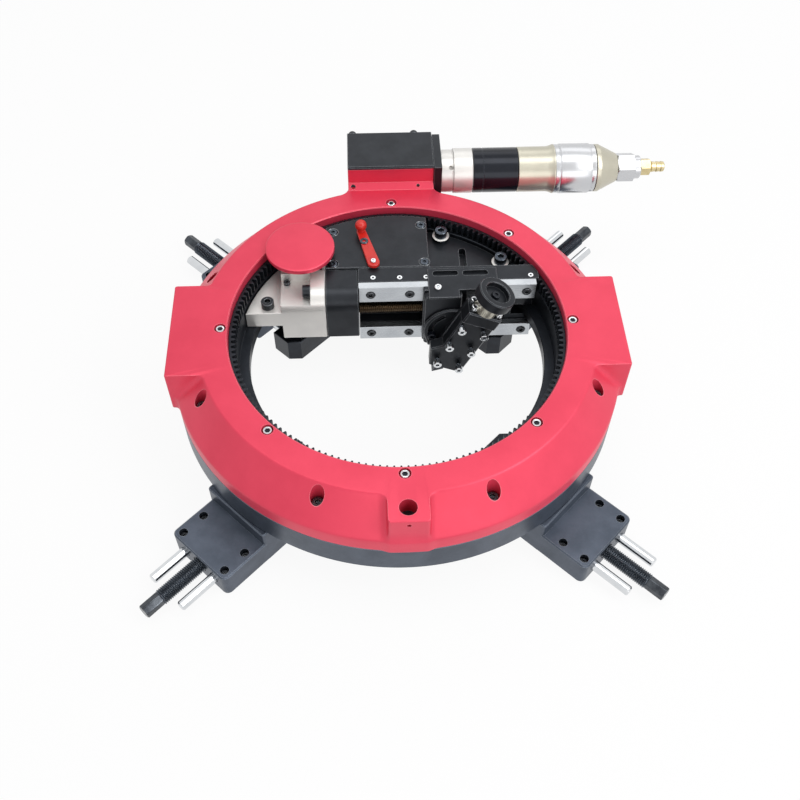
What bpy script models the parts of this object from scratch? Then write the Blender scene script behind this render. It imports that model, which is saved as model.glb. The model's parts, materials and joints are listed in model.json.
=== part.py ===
"""Portable flange lathe, in metres, +Z up.

A base ring stands on four clamp legs. A rotor ring turns in it on a slim ball
bearing and carries the tool arm. A cover ring with a drive box closes the top,
and an air motor turns the rotor through a bevel pair and a pinion. The origin
is on the floor, under the middle of the whole machine's outline.
"""
import bpy
import bmesh
from math import acos, atan2, cos, hypot, pi, radians, sin, sqrt, tan
from mathutils import Matrix, Vector

# Fits that the whole machine shares
GAP = 0.0003            # between pieces that touch
WELD_REACH = 0.000001   # corners this near become one
AXIS_REACH = 0.000005   # turned corners this near the axis become one
RUNNING_GAP = 0.0013    # between rings that turn past each other
OVERRUN = 0.002         # how far a cutter passes the face that it opens
RING_STEPS = 60
INNER_RING_STEPS = 48
ROUND_STEPS = 24
BORE_STEPS = 16
SMALL_STEPS = 12
SINK_STEPS = 10
CORNER_STEPS = 3

# Clamp legs, in the leg's own frame: x outwards from the ring axis, y across
LEG_ANGLES = (45, 135, 225, 315)
LEG_NAMES = ("rear_right", "rear_left", "front_left", "front_right")
PAD_HEIGHT = 0.0467
PAD_INNER = 0.172
PAD_OUTER = 0.221
PAD_HALF_WIDTH = 0.040
PAD_CORNER = 0.005
BLOCK_HEIGHT = 0.030
BLOCK_OUTER = 0.271
BLOCK_HALF_WIDTH = 0.037
BLOCK_CORNER = 0.006
BLOCK_JOIN = 0.006      # how far the low block reaches into the high pad
BLOCK_SCREW_HOLE_R = 0.00425
BLOCK_SCREW_DEPTH = 0.009
BLOCK_SCREW_INNER = 0.2385
BLOCK_SCREW_PITCH = 0.0245
BLOCK_SCREW_ACROSS = 0.0288
ROD_HEIGHT = 0.015      # axis of rods and screw over the floor
ROD_R = 0.005
ROD_FIT = 0.00005
ROD_ACROSS = 0.020
ROD_OUTER = 0.311
ROD_SEAT = 0.020        # depth of the rod's seat in the jaw
SCREW_R = 0.008
SCREW_FIT = 0.0005
SCREW_LENGTH = 0.178
SCREW_SEAT = 0.008
HEX_LENGTH = 0.019
HEX_ACROSS_FLATS = 0.012
JAW_FRONT = 0.116
JAW_DEPTH = 0.032
JAW_HALF_WIDTH = 0.037
JAW_CHAMFER = 0.010
JAW_HEIGHT = 0.0285
JAW_LIFT = 0.001        # jaw's underside over the floor

# Base ring
BASE_FOOT = PAD_HEIGHT + GAP
BASE_HEIGHT = 0.0327
BASE_R = 0.219
BASE_LIP_R = 0.170
BASE_LIP_HEIGHT = 0.003
BASE_STEP_R = 0.178
BASE_STEP_HEIGHT = 0.0057
BEARING_HEIGHT = 0.014
BEARING_OUTER_R = 0.188
BEARING_OUTER_WALL = 0.006
BEARING_INNER_R = 0.1686
BEARING_INNER_WALL = 0.0062
ROLLER_R = 0.0031
ROLLER_COUNT = 24
CAGE_WALL = 0.0024
CAGE_HEIGHT = 0.009

# Cover ring
COVER_FOOT = BASE_FOOT + BASE_HEIGHT + GAP
COVER_HEIGHT = 0.049
COVER_BORE_R = 0.163
COVER_FLAT_R = 0.191
CONE_DROP = 0.033
TOP_PLATE = 0.011
HOLLOW_R = 0.2095
HOLLOW_DROP = 0.035
SHOULDER_R = 0.190
SHOULDER_DROP = 0.0225
LUG_REACH = 0.218
LUG_FRONT = -0.057
LUG_REAR = 0.056
LUG_ROOT = 0.180
NOSE_HALF_WIDTH = 0.018
NOSE_ROOT_HALF_WIDTH = 0.027
NOSE_ROOT = 0.190
NOSE_HOLE_R = 0.008
NOSE_HOLE_PLACE = 0.204
NOSE_HOLE_DEPTH = 0.016
COVER_SCREW_COUNT = 8
COVER_SCREW_PLACE_R = 0.170
COVER_SCREW_SINK_R = 0.006
COVER_SCREW_SINK = 0.0066
CONE_SCREW_PLACE_R = 0.2015
CONE_SCREW_SINK_R = 0.006
CONE_SCREW_SINK = 0.005

# Feed ring gear and its pinion
FEED_MODULE = 0.002
FEED_RING_TEETH = 158
FEED_PINION_TEETH = 20
FEED_RING_R = 0.176
FEED_RING_HEIGHT = 0.009
FEED_PINION_HEIGHT = 0.0085
FEED_PINION_BORE_R = 0.0064

# Rotor ring and its gear
ROTOR_WALL_R = 0.1565
ROTOR_NECK_WALL = 0.0115
ROTOR_NECK_R = ROTOR_WALL_R + ROTOR_NECK_WALL
ROTOR_WALL_HEIGHT = 0.0234
ROTOR_LEDGE_R = 0.1465
ROTOR_LEDGE_HEIGHT = 0.013
ROTOR_SKIRT_STEP = 0.0035
ROTOR_SKIRT_R = ROTOR_WALL_R + ROTOR_SKIRT_STEP
ROTOR_FLANGE_R = 0.190
ROTOR_FLANGE_DROP = 0.0094
ROTOR_FLANGE_HEIGHT = 0.005
ROTOR_SHOULDER_R = 0.173
ROTOR_FOOT_LIFT = 0.003
DRIVE_MODULE = 0.004
DRIVE_GEAR_TEETH = 102
DRIVE_PINION_TEETH = 9
DRIVE_GEAR_HEIGHT = 0.0105
DRIVE_PINION_HEIGHT = 0.0103

# Gear tooth forms, as shares of the module or of one tooth's pitch
ADDENDUM_SHARE = 0.9
GEAR_DEDENDUM_SHARE = 1.25
PINION_DEDENDUM_SHARE = 1.2
GEAR_ROOT_SHARE = 0.71
GEAR_TIP_SHARE = 0.21
PINION_ROOT_SHARE = 0.50
PINION_TIP_SHARE = 0.16
BEVEL_TEETH = 14
BEVEL_ADDENDUM_SHARE = 0.8
BEVEL_DEDENDUM_SHARE = 1.1
BEVEL_ROOT_SHARE = 0.62
BEVEL_TIP_SHARE = 0.16

# Drive box at the rear of the cover
BOX_LEFT = -0.0453
BOX_RIGHT = 0.0465
BOX_FRONT = 0.1954
BOX_REAR = 0.250
BOX_RISE = 0.0232       # red walls over the cover's top
BOX_STRIP = 0.0059      # sloping strip at the foot of the front wall
CAP_HEIGHT = 0.003
CAP_BEVEL = 0.0015
CAP_REAR_DROP = 0.026
CAP_SCREW_R = 0.0065
CAP_SCREW_HEIGHT = 0.0047
CAP_SCREW_DROP = 0.010
CAP_SCREW_LEFT = -0.040
CAP_SCREW_RIGHT = 0.027
BOX_CHAMBER_R = 0.021
BOX_CHAMBER_DROP = 0.020
BEARING_LIP = 0.005
SHAFT_DROP = 0.003      # motor axis under the cover's top

# Pinion shaft, bevel pair and motor shaft
PINION_SHAFT_R = 0.0077
BEARING_SMALL_R = 0.016
BEARING_SMALL_BORE_R = 0.008
BEARING_SMALL_HEIGHT = 0.010
UPPER_BEARING_FOOT = 0.033
BEVEL_NEAR = 0.007
BEVEL_FAR = 0.013
BEVEL_HUB_R = 0.009
BEVEL_HUB_HEIGHT = 0.004
NECK_R = 0.0038
NECK_FIT = 0.0004
LOWER_BEARING_FOOT = 0.064
MOTOR_SHAFT_R = 0.007
MOTOR_BORE_R = 0.0074
BOX_SHAFT_BORE_R = 0.009
PINION_POCKET_GAP = 0.002

# Air motor along +X: where each piece ends, and its radius
FLANGE_END = 0.055
FLANGE_FRONT = 0.193
FLANGE_REAR = 0.248
FLANGE_DROP = 0.032
ADAPTER_STEP = 0.068
ADAPTER_NECK_R = 0.0227
ADAPTER_R = 0.024
ADAPTER_END = 0.090
GEARCASE_R = 0.024
GEARCASE_END = 0.139
MOTOR_R = 0.0242
MOTOR_BODY_END = 0.172
MOTOR_FLARE_END = 0.179
SLEEVE_R = 0.0267
SLEEVE_END = 0.224
SLEEVE_GROOVE = 0.0012
SLEEVE_GROOVE_INSET = 0.005
SPIGOT_R = 0.018
CONE_END = 0.249
CONE_END_R = 0.015
INLET_FLATS_END = 0.269
INLET_ACROSS_FLATS = 0.028
INLET_END = 0.2755
INLET_R = 0.0125
NIPPLE_FLATS_END = 0.287
NIPPLE_ACROSS_FLATS = 0.0165
NIPPLE_R = 0.0059
NIPPLE_END = 0.303
AIR_BORE_R = 0.003
MOTOR_SHAFT_END = 0.100

# Tool arm: plates in the plane of the ring
ARM_FIT = 0.0011
ARM_R = ROTOR_WALL_R - ARM_FIT
ARM_TOP_DROP = 0.025    # arm plate's top under the cover's top
ARM_LEFT = -0.0697
ARM_FRONT = 0.0803
BRACKET_FRONT = 0.039
BRACKET_RIGHT = -0.0703
BARREL_LEFT = -0.115
BARREL_WALL = 0.0575
BARREL_TOP_DROP = 0.007
BARREL_ROUND_R = 0.0185
BARREL_FOOT_DROP = 0.063
BARREL_REAR = 0.0797
BEARING_BLOCK_RIGHT = -0.037
POCKET_LEFT = -0.104
POCKET_RIGHT = -0.083
POCKET_FLOOR_DROP = 0.020
POCKET_FRONT = 0.055
POCKET_REAR = 0.0735
GEAR_COVER_RIGHT = 0.036
GEAR_COVER_DROP = 0.005
GEAR_COVER_LID = 0.0054
GEAR_COVER_LID_FIT = 0.006
GEAR_COVER_LID_R = COVER_BORE_R - GEAR_COVER_LID_FIT
GEAR_COVER_WALL = 0.004
GROOVE_X = 0.073
GROOVE_WIDTH = 0.005
GROOVE_DEPTH = 0.003
GROOVE_FRONT = 0.088
GROOVE_REAR = 0.124

# Feed handwheel
WHEEL_X = -0.095
WHEEL_R = 0.035
WHEEL_LIFT = 0.002      # disc's underside over the cover's top
WHEEL_HEIGHT = 0.006
WHEEL_RIM = 0.0035
WHEEL_EDGE = 0.001
WHEEL_BOSS_R = 0.014
WHEEL_BOSS_FOOT_R = 0.010
WHEEL_SHAFT_R = 0.006
WHEEL_SHAFT_DROP = 0.042

# Tool slide along X
SLIDE_FRONT = 0.061
SLIDE_REAR = 0.080
SLIDE_LEFT = -0.0367
SLIDE_TOP_DROP = 0.006
SLIDE_FOOT_DROP = 0.084
SLIDE_RIGHT = 0.142
SLIDE_BEVEL = 0.0025
SLIDE_REAR_RIGHT = 0.133
STRIP_HEIGHT = 0.0048
STRIP_RIGHT = 0.145
STRIP_BEVEL_Y = 0.070
STRIP_REAR_RIGHT = 0.1405
SLIDE_WAIST_RIGHT = 0.121
SLIDE_WAIST_TOP = 0.0447
SLIDE_WAIST_FOOT = 0.0595
CHANNEL_REAR = 0.072
CHANNEL_TOP_DROP = 0.027
CHANNEL_FOOT_DROP = 0.066
CHANNEL_RIGHT = 0.115
RAIL_THICKNESS = 0.008
RAIL_HEIGHT = 0.021
RAIL_FOOT_HEIGHT = 0.018
RAIL_BOLT_FIRST = 0.012
RAIL_BOLT_PITCH = 0.0394
RAIL_BOLT_COUNT = 5
RAIL_BOLT_SINK_R = 0.005
RAIL_BOLT_SINK = 0.003
LEAD_SCREW_Y = 0.063
LEAD_SCREW_DROP = 0.046
LEAD_SCREW_R = 0.006
LEAD_SCREW_FIT = 0.0002
LEAD_SCREW_LEFT = -0.108
LEAD_SCREW_RIGHT = 0.1205

# Carriage
SADDLE_LEFT = 0.028
SADDLE_RIGHT = 0.072
SADDLE_THICKNESS = 0.006
SADDLE_FOOT_DROP = 0.080
TABLE_DROP = 0.003
TABLE_THICKNESS = 0.0027
TABLE_LEFT = 0.033
TABLE_STEP = 0.0635
TABLE_RIGHT = 0.103
TABLE_FRONT = 0.035
TABLE_STEP_Y = 0.045
TABLE_REAR = 0.075
TABLE_SLOT_Y = 0.068
TABLE_SLOT_R = 0.0016
TABLE_SLOT_LENGTH = 0.016
TABLE_SLOT_FIRST = 0.0466
TABLE_SLOT_PITCH = 0.0265
TABLE_SLOT_COUNT = 2
NUT_LEFT = 0.042
NUT_RIGHT = 0.068
NUT_REAR = 0.0716
NUT_HALF_HEIGHT = 0.010

# Swivel plate and tool block: depth down the tilted slide, side across it
TILT = radians(24)
SWIVEL_FRONT = 0.035
SWIVEL_PLATE_LEFT = 0.029
SWIVEL_PLATE_RIGHT = 0.066
SWIVEL_TOP_DROP = 0.0062
SWIVEL_FOOT_DROP = 0.077
SWIVEL_FOOT_RIGHT = 0.043
SWIVEL_SIDE_DROP = 0.043
SWIVEL_CORNER = 0.004
PIVOT_X = 0.059
PIVOT_DROP = 0.0537
PIVOT_R = 0.005
ARC_SLOT_R = 0.027
ARC_SLOT_HALF_WIDTH = 0.0023
ARC_SLOT_START = radians(118)
ARC_SLOT_END = radians(196)
ARC_SLOT_DEPTH = 0.004
BASE_PLATE_FRONT = 0.0293
TOOL_FRONT = 0.016
TOOL_SIDE = 0.084       # slide's centre line, across the tilt
TOOL_HALF_WIDTH = 0.018
BAR_TOP = -0.026
BAR_FOOT = -0.0104
BAR_DEPTH_FRONT = 0.0135
BAR_SLOPE = 0.006
SLIDE_HEAD = -0.010
BASE_PLATE_FOOT = 0.046
BASE_PLATE_CORNER = 0.010
SLIDE_TAIL = 0.064
SLIDE_TAIL_BEVEL = 0.006
SLIDE_EAR_SIDE = 0.056
SLIDE_EAR_DEPTH = 0.040
SLIDE_EAR_TOP = 0.031
TOOL_BIT_SIDE = 0.080
TOOL_BIT_HALF = 0.0045
TOOL_BIT_TOP = 0.031
TOOL_BIT_TIP = 0.077
TOOL_BIT_POINT = 0.008
DEPTH_AXIS_Y = 0.024
DEPTH_SCREW_R = 0.003
DEPTH_SCREW_FIT = 0.0003
DEPTH_SCREW_END = 0.020
DEPTH_BORE_END = 0.024
COLLAR_R = 0.0118
COLLAR_HEIGHT = 0.0155
KNOB_R = 0.0195
KNOB_HEIGHT = 0.0115
KNOB_RECESS_R = 0.0125
KNOB_RECESS = 0.006
KNOB_HUB_R = 0.005
KNOB_HUB_HEIGHT = 0.003

# Selector lever on the gear cover
LEVER_PIVOT_X = -0.021
LEVER_PIVOT_Y = 0.0845
LEVER_LENGTH = 0.047
LEVER_HALF_WIDTH = 0.005
LEVER_THICKNESS = 0.004
LEVER_ANGLE = radians(104.5)
LEVER_BALL_R = 0.006
LEVER_STEM_R = 0.0035

# Heights that follow from the sizes above
BASE_TOP = BASE_FOOT + BASE_HEIGHT
COVER_TOP = COVER_FOOT + COVER_HEIGHT
FEED_TOP = COVER_TOP - TOP_PLATE - GAP
FEED_FOOT = FEED_TOP - FEED_RING_HEIGHT
ROTOR_TOP = FEED_FOOT - RUNNING_GAP
LEDGE_TOP = ROTOR_TOP - ROTOR_WALL_HEIGHT
BEARING_FOOT = BASE_FOOT + BASE_STEP_HEIGHT + GAP
BEARING_TOP = BEARING_FOOT + BEARING_HEIGHT
FLANGE_FOOT = ROTOR_TOP - ROTOR_FLANGE_DROP - ROTOR_FLANGE_HEIGHT
GEAR_TOP = FLANGE_FOOT - GAP
BOX_TOP = COVER_TOP + BOX_RISE
MOTOR_HEIGHT = COVER_TOP - SHAFT_DROP
DRIVE_GEAR_R = DRIVE_MODULE * DRIVE_GEAR_TEETH / 2
DRIVE_PINION_R = DRIVE_MODULE * DRIVE_PINION_TEETH / 2
DRIVE_AXIS_Y = DRIVE_GEAR_R + DRIVE_PINION_R
FEED_PITCH_R = FEED_MODULE * FEED_RING_TEETH / 2
FEED_PINION_R = FEED_MODULE * FEED_PINION_TEETH / 2
WHEEL_PLACE_R = FEED_PITCH_R - FEED_PINION_R
WHEEL_Y = sqrt(WHEEL_PLACE_R ** 2 - WHEEL_X ** 2)
HEX_R = HEX_ACROSS_FLATS / 2 / cos(pi / 6)
JAW_BACK = JAW_FRONT + JAW_DEPTH
SCREW_START = JAW_BACK - SCREW_SEAT
SCREW_END = SCREW_START + SCREW_LENGTH
HEX_END = SCREW_END + HEX_LENGTH

# The machine's outline, and the ring axis's place in it
LEG_REACH = (HEX_END + HEX_R) * cos(pi / 4)
REAR_REACH = BOX_REAR + GAP + CAP_HEIGHT + CAP_SCREW_HEIGHT
RING_X = (LEG_REACH - NIPPLE_END) / 2
RING_Y = (LEG_REACH - REAR_REACH) / 2

for old_object in list(bpy.data.objects):
    bpy.data.objects.remove(old_object, do_unlink=True)

LATHE = bpy.data.collections.new("portable_flange_lathe")
CUTTERS = bpy.data.collections.new("cutters")
bpy.context.scene.collection.children.link(LATHE)
bpy.context.scene.collection.children.link(CUTTERS)


def linear(hex_colour):
    """Linear RGBA of an sRGB colour written as a hex number."""
    parts = [(hex_colour >> shift & 255) / 255 for shift in (16, 8, 0)]
    return [(p / 12.92 if p <= 0.04045 else ((p + 0.055) / 1.055) ** 2.4) for p in parts] + [1]


def coat(piece, hex_colour, roughness, metallic):
    """Gives a piece its own Principled material."""
    finish = bpy.data.materials.new(piece.name + "_finish")
    finish.use_nodes = True
    shader = finish.node_tree.nodes["Principled BSDF"]
    shader.inputs["Base Color"].default_value = linear(hex_colour)
    shader.inputs["Roughness"].default_value = roughness
    shader.inputs["Metallic"].default_value = metallic
    finish.diffuse_color = linear(hex_colour)
    piece.data.materials.clear()
    piece.data.materials.append(finish)
    return piece


def red_anodised(piece):
    return coat(piece, 0xD83A50, 0.38, 0.6)


def dark_steel(piece):
    return coat(piece, 0x33373D, 0.45, 0.7)


def black_oxide(piece):
    return coat(piece, 0x1F2023, 0.4, 0.4)


def bare_aluminium(piece):
    return coat(piece, 0xC9CACB, 0.4, 0.9)


def ground_steel(piece):
    return coat(piece, 0xB4B7BA, 0.25, 1.0)


def champagne(piece):
    return coat(piece, 0xBFAE93, 0.35, 0.9)


def brass(piece):
    return coat(piece, 0xC8A25A, 0.3, 1.0)


def new_object(name, mesh, collection=None):
    piece = bpy.data.objects.new(name, mesh)
    (collection or LATHE).objects.link(piece)
    return piece


def smooth(piece, angle=radians(32)):
    """Smooth shading over the round faces, sharp at the edges."""
    piece.data.shade_smooth()
    piece.data.set_sharp_from_angle(angle=angle)
    return piece


def ring_loop(radius, steps=RING_STEPS):
    """A circle's points, in the same places as a turned ring's."""
    return [(radius * cos(2 * pi * k / steps), radius * sin(2 * pi * k / steps)) for k in range(steps)]


def arc(centre, radius, start, end, steps):
    """Points on a round stretch, from one angle to another."""
    angles = [start + (end - start) * k / steps for k in range(steps + 1)]
    return [(centre[0] + radius * cos(a), centre[1] + radius * sin(a)) for a in angles]


def rounded(points, radii):
    """An outline with each corner turned into an arc of its own radius."""
    result = []
    for k, corner in enumerate(points):
        radius = radii[k]
        if radius == 0:
            result.append(corner)
            continue
        here = Vector(corner)
        back = (Vector(points[k - 1]) - here).normalized()
        onward = (Vector(points[(k + 1) % len(points)]) - here).normalized()
        half = acos(max(-1, min(1, back.dot(onward)))) / 2
        reach = radius / tan(half)
        centre = here + (back + onward).normalized() * radius / sin(half)
        first = here + back * reach - centre
        last = here + onward * reach - centre
        start = atan2(first.y, first.x)
        turn = atan2(last.y, last.x) - start
        turn = (turn + pi) % (2 * pi) - pi
        result += arc(centre, radius, start, start + turn, CORNER_STEPS)
    return result


def plate(name, outlines, low, high, collection=None):
    """A flat outline, with any holes, carried up from low to high."""
    curve = bpy.data.curves.new(name, "CURVE")
    curve.dimensions = "2D"
    curve.fill_mode = "BOTH"
    curve.extrude = (high - low) / 2
    for outline in outlines:
        spline = curve.splines.new("POLY")
        spline.points.add(len(outline) - 1)
        for point, (x, y) in zip(spline.points, outline):
            point.co = (x, y, 0, 1)
        spline.use_cyclic_u = True
    drawn = bpy.data.objects.new(name + "_outline", curve)
    bpy.context.scene.collection.objects.link(drawn)
    drawn.location = (0, 0, (low + high) / 2)
    bpy.context.view_layer.update()
    graph = bpy.context.evaluated_depsgraph_get()
    mesh = bpy.data.meshes.new_from_object(drawn.evaluated_get(graph))
    mesh.transform(drawn.matrix_world)
    bpy.data.objects.remove(drawn)
    weld(mesh)
    return new_object(name, mesh, collection)


def weld(mesh):
    """Joins a mesh's loose caps and turns its faces outwards."""
    work = bmesh.new()
    work.from_mesh(mesh)
    bmesh.ops.remove_doubles(work, verts=work.verts, dist=WELD_REACH)
    bmesh.ops.recalc_face_normals(work, faces=work.faces)
    work.to_mesh(mesh)
    work.free()


def upright(piece, along="y"):
    """Turns a plate drawn in X and Z so that its height runs back along Y, or forward along X."""
    turn = {"y": Matrix(((1, 0, 0, 0), (0, 0, 1, 0), (0, 1, 0, 0), (0, 0, 0, 1))),
            "x": Matrix(((0, 0, 1, 0), (1, 0, 0, 0), (0, 1, 0, 0), (0, 0, 0, 1)))}[along]
    piece.data.transform(turn)
    weld(piece.data)
    return piece


def box(name, low, high, collection=None):
    mesh = bpy.data.meshes.new(name)
    work = bmesh.new()
    centre = [(a + b) / 2 for a, b in zip(low, high)]
    size = [b - a for a, b in zip(low, high)] + [1]
    bmesh.ops.create_cube(work, size=1, matrix=Matrix.Translation(centre) @ Matrix.Diagonal(size))
    work.to_mesh(mesh)
    work.free()
    return new_object(name, mesh, collection)


def rod(name, radius, start, end, steps=ROUND_STEPS, end_radius=None, collection=None):
    """A round bar or cone between two points."""
    start = Vector(start)
    end = Vector(end)
    mesh = bpy.data.meshes.new(name)
    work = bmesh.new()
    turn = Vector((0, 0, 1)).rotation_difference(end - start).to_matrix().to_4x4()
    bmesh.ops.create_cone(
        work, cap_ends=True, segments=steps, radius1=radius,
        radius2=radius if end_radius is None else end_radius,
        depth=(end - start).length, matrix=Matrix.Translation((start + end) / 2) @ turn)
    work.to_mesh(mesh)
    work.free()
    return new_object(name, mesh, collection)


def turned(name, profile, steps=RING_STEPS, closed=True, collection=None):
    """A profile of radius and height, swept round Z. It runs down its outer side."""
    mesh = bpy.data.meshes.new(name)
    count = len(profile)
    edges = [(k, k + 1) for k in range(count - 1)] + ([(count - 1, 0)] if closed else [])
    mesh.from_pydata([(radius, 0, height) for radius, height in profile], edges, [])
    piece = new_object(name, mesh, collection)
    sweep = piece.modifiers.new("sweep", "SCREW")
    sweep.angle = 2 * pi
    sweep.steps = steps
    sweep.render_steps = steps
    sweep.use_merge_vertices = True
    sweep.merge_threshold = AXIS_REACH
    sweep.use_smooth_shade = False
    return piece


def swept_along_x(piece, height, start=0, side=None):
    """Lays a turned piece down, so that its axis runs along +X."""
    piece.rotation_euler = (0, pi / 2, 0)
    piece.location = (start, DRIVE_AXIS_Y if side is None else side, height)
    return piece


def cut(piece, cutter):
    """Takes the cutter's shape out of the piece."""
    return boolean(piece, cutter, "DIFFERENCE")


def join(piece, other):
    """Adds the other shape to the piece."""
    return boolean(piece, other, "UNION")


def boolean(piece, tool, operation):
    if tool.name in LATHE.objects:
        LATHE.objects.unlink(tool)
        CUTTERS.objects.link(tool)
    tool.hide_render = True
    tool.display_type = "WIRE"
    step = piece.modifiers.new(tool.name, "BOOLEAN")
    step.operation = operation
    step.solver = "EXACT"
    step.object = tool
    return piece


def drill(piece, radius, start, end, steps=ROUND_STEPS):
    return cut(piece, rod(piece.name + "_hole", radius, start, end, steps, collection=CUTTERS))


def finished(piece):
    """The piece with its modifiers applied, in its own place."""
    bpy.context.view_layer.update()
    graph = bpy.context.evaluated_depsgraph_get()
    mesh = bpy.data.meshes.new_from_object(piece.evaluated_get(graph))
    piece.modifiers.clear()
    piece.data = mesh
    return piece


def put_origin(piece, point):
    """Moves a piece's origin to a point on its joint's axis, leaving the piece where it is."""
    step = Vector(point) - piece.location
    piece.data.transform(Matrix.Translation(-step))
    piece.location = point
    return piece


def toothed(teeth, root_r, tip_r, root_share, tip_share, phase=0):
    """A gear's outline: four points a tooth, the first tooth centred on the phase."""
    pitch_angle = 2 * pi / teeth
    points = []
    for tooth in range(teeth):
        middle = phase + tooth * pitch_angle
        flank = ((root_r, -root_share), (tip_r, -tip_share), (tip_r, tip_share), (root_r, root_share))
        for radius, side in flank:
            angle = middle + side * pitch_angle / 2
            points.append((radius * cos(angle), radius * sin(angle)))
    return points


def pinion_outline(teeth, module, phase):
    radius = module * teeth / 2
    return toothed(teeth, radius - PINION_DEDENDUM_SHARE * module, radius + ADDENDUM_SHARE * module,
                   PINION_ROOT_SHARE, PINION_TIP_SHARE, phase)


def bevel_cone(name, phase):
    """Bevel teeth: each section is one outline scaled by its distance from the apex, along +Z."""
    module = 2 / BEVEL_TEETH
    outline = toothed(BEVEL_TEETH, 1 - BEVEL_DEDENDUM_SHARE * module, 1 + BEVEL_ADDENDUM_SHARE * module,
                      BEVEL_ROOT_SHARE, BEVEL_TIP_SHARE, phase)
    piece = plate(name, [outline], BEVEL_NEAR, BEVEL_FAR)
    for vertex in piece.data.vertices:
        vertex.co.x *= vertex.co.z
        vertex.co.y *= vertex.co.z
    return piece


# Base ring, bearing and cover
def make_base_ring():
    seat_r = BEARING_OUTER_R + GAP
    profile = [
        (BASE_R, BASE_TOP), (BASE_R, BASE_FOOT), (BASE_LIP_R, BASE_FOOT),
        (BASE_LIP_R, BASE_FOOT + BASE_LIP_HEIGHT), (BASE_STEP_R, BASE_FOOT + BASE_LIP_HEIGHT),
        (BASE_STEP_R, BASE_FOOT + BASE_STEP_HEIGHT), (seat_r, BASE_FOOT + BASE_STEP_HEIGHT),
        (seat_r, BASE_TOP)]
    ring = turned("base_ring", profile)
    join(ring, box("base_box", (BOX_LEFT, BOX_FRONT, BASE_FOOT), (BOX_RIGHT, BOX_REAR, BASE_TOP)))
    drill(ring, BEARING_SMALL_R + GAP, (0, DRIVE_AXIS_Y, COVER_TOP - LOWER_BEARING_FOOT - GAP),
          (0, DRIVE_AXIS_Y, BASE_TOP + OVERRUN))
    return smooth(dark_steel(finished(ring)))


def make_bearing():
    outer_inner_r = BEARING_OUTER_R - BEARING_OUTER_WALL
    inner_outer_r = BEARING_INNER_R + BEARING_INNER_WALL
    outer = turned("bearing_outer_race", [
        (BEARING_OUTER_R, BEARING_TOP), (BEARING_OUTER_R, BEARING_FOOT),
        (outer_inner_r, BEARING_FOOT), (outer_inner_r, BEARING_TOP)], INNER_RING_STEPS)
    inner = turned("bearing_inner_race", [
        (inner_outer_r, BEARING_TOP), (inner_outer_r, BEARING_FOOT),
        (BEARING_INNER_R, BEARING_FOOT), (BEARING_INNER_R, BEARING_TOP)], INNER_RING_STEPS)
    for piece in (outer, inner):
        smooth(ground_steel(finished(piece)))
    middle_r = (outer_inner_r + inner_outer_r) / 2
    middle = (BEARING_TOP + BEARING_FOOT) / 2
    outlines = [cage_outline(middle_r, CAGE_WALL / 2, 1), cage_outline(middle_r, CAGE_WALL / 2, -1)]
    cage = plate("bearing_roller_cage", outlines, middle - CAGE_HEIGHT / 2, middle + CAGE_HEIGHT / 2)
    return brass(cage)


def cage_outline(middle_r, half_wall, side):
    """One side of the cage: a ring that swells over each roller. Side is 1 outside, -1 inside."""
    points = []
    start = atan2(half_wall, sqrt(ROLLER_R ** 2 - half_wall ** 2))
    for roller in range(ROLLER_COUNT):
        place = 2 * pi * roller / ROLLER_COUNT
        for step in range(CORNER_STEPS + 1):
            angle = start + (pi - 2 * start) * step / CORNER_STEPS
            radius = middle_r + side * ROLLER_R * sin(angle)
            turn = place - ROLLER_R * cos(angle) / middle_r
            points.append((radius * cos(turn), radius * sin(turn)))
    return points


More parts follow.
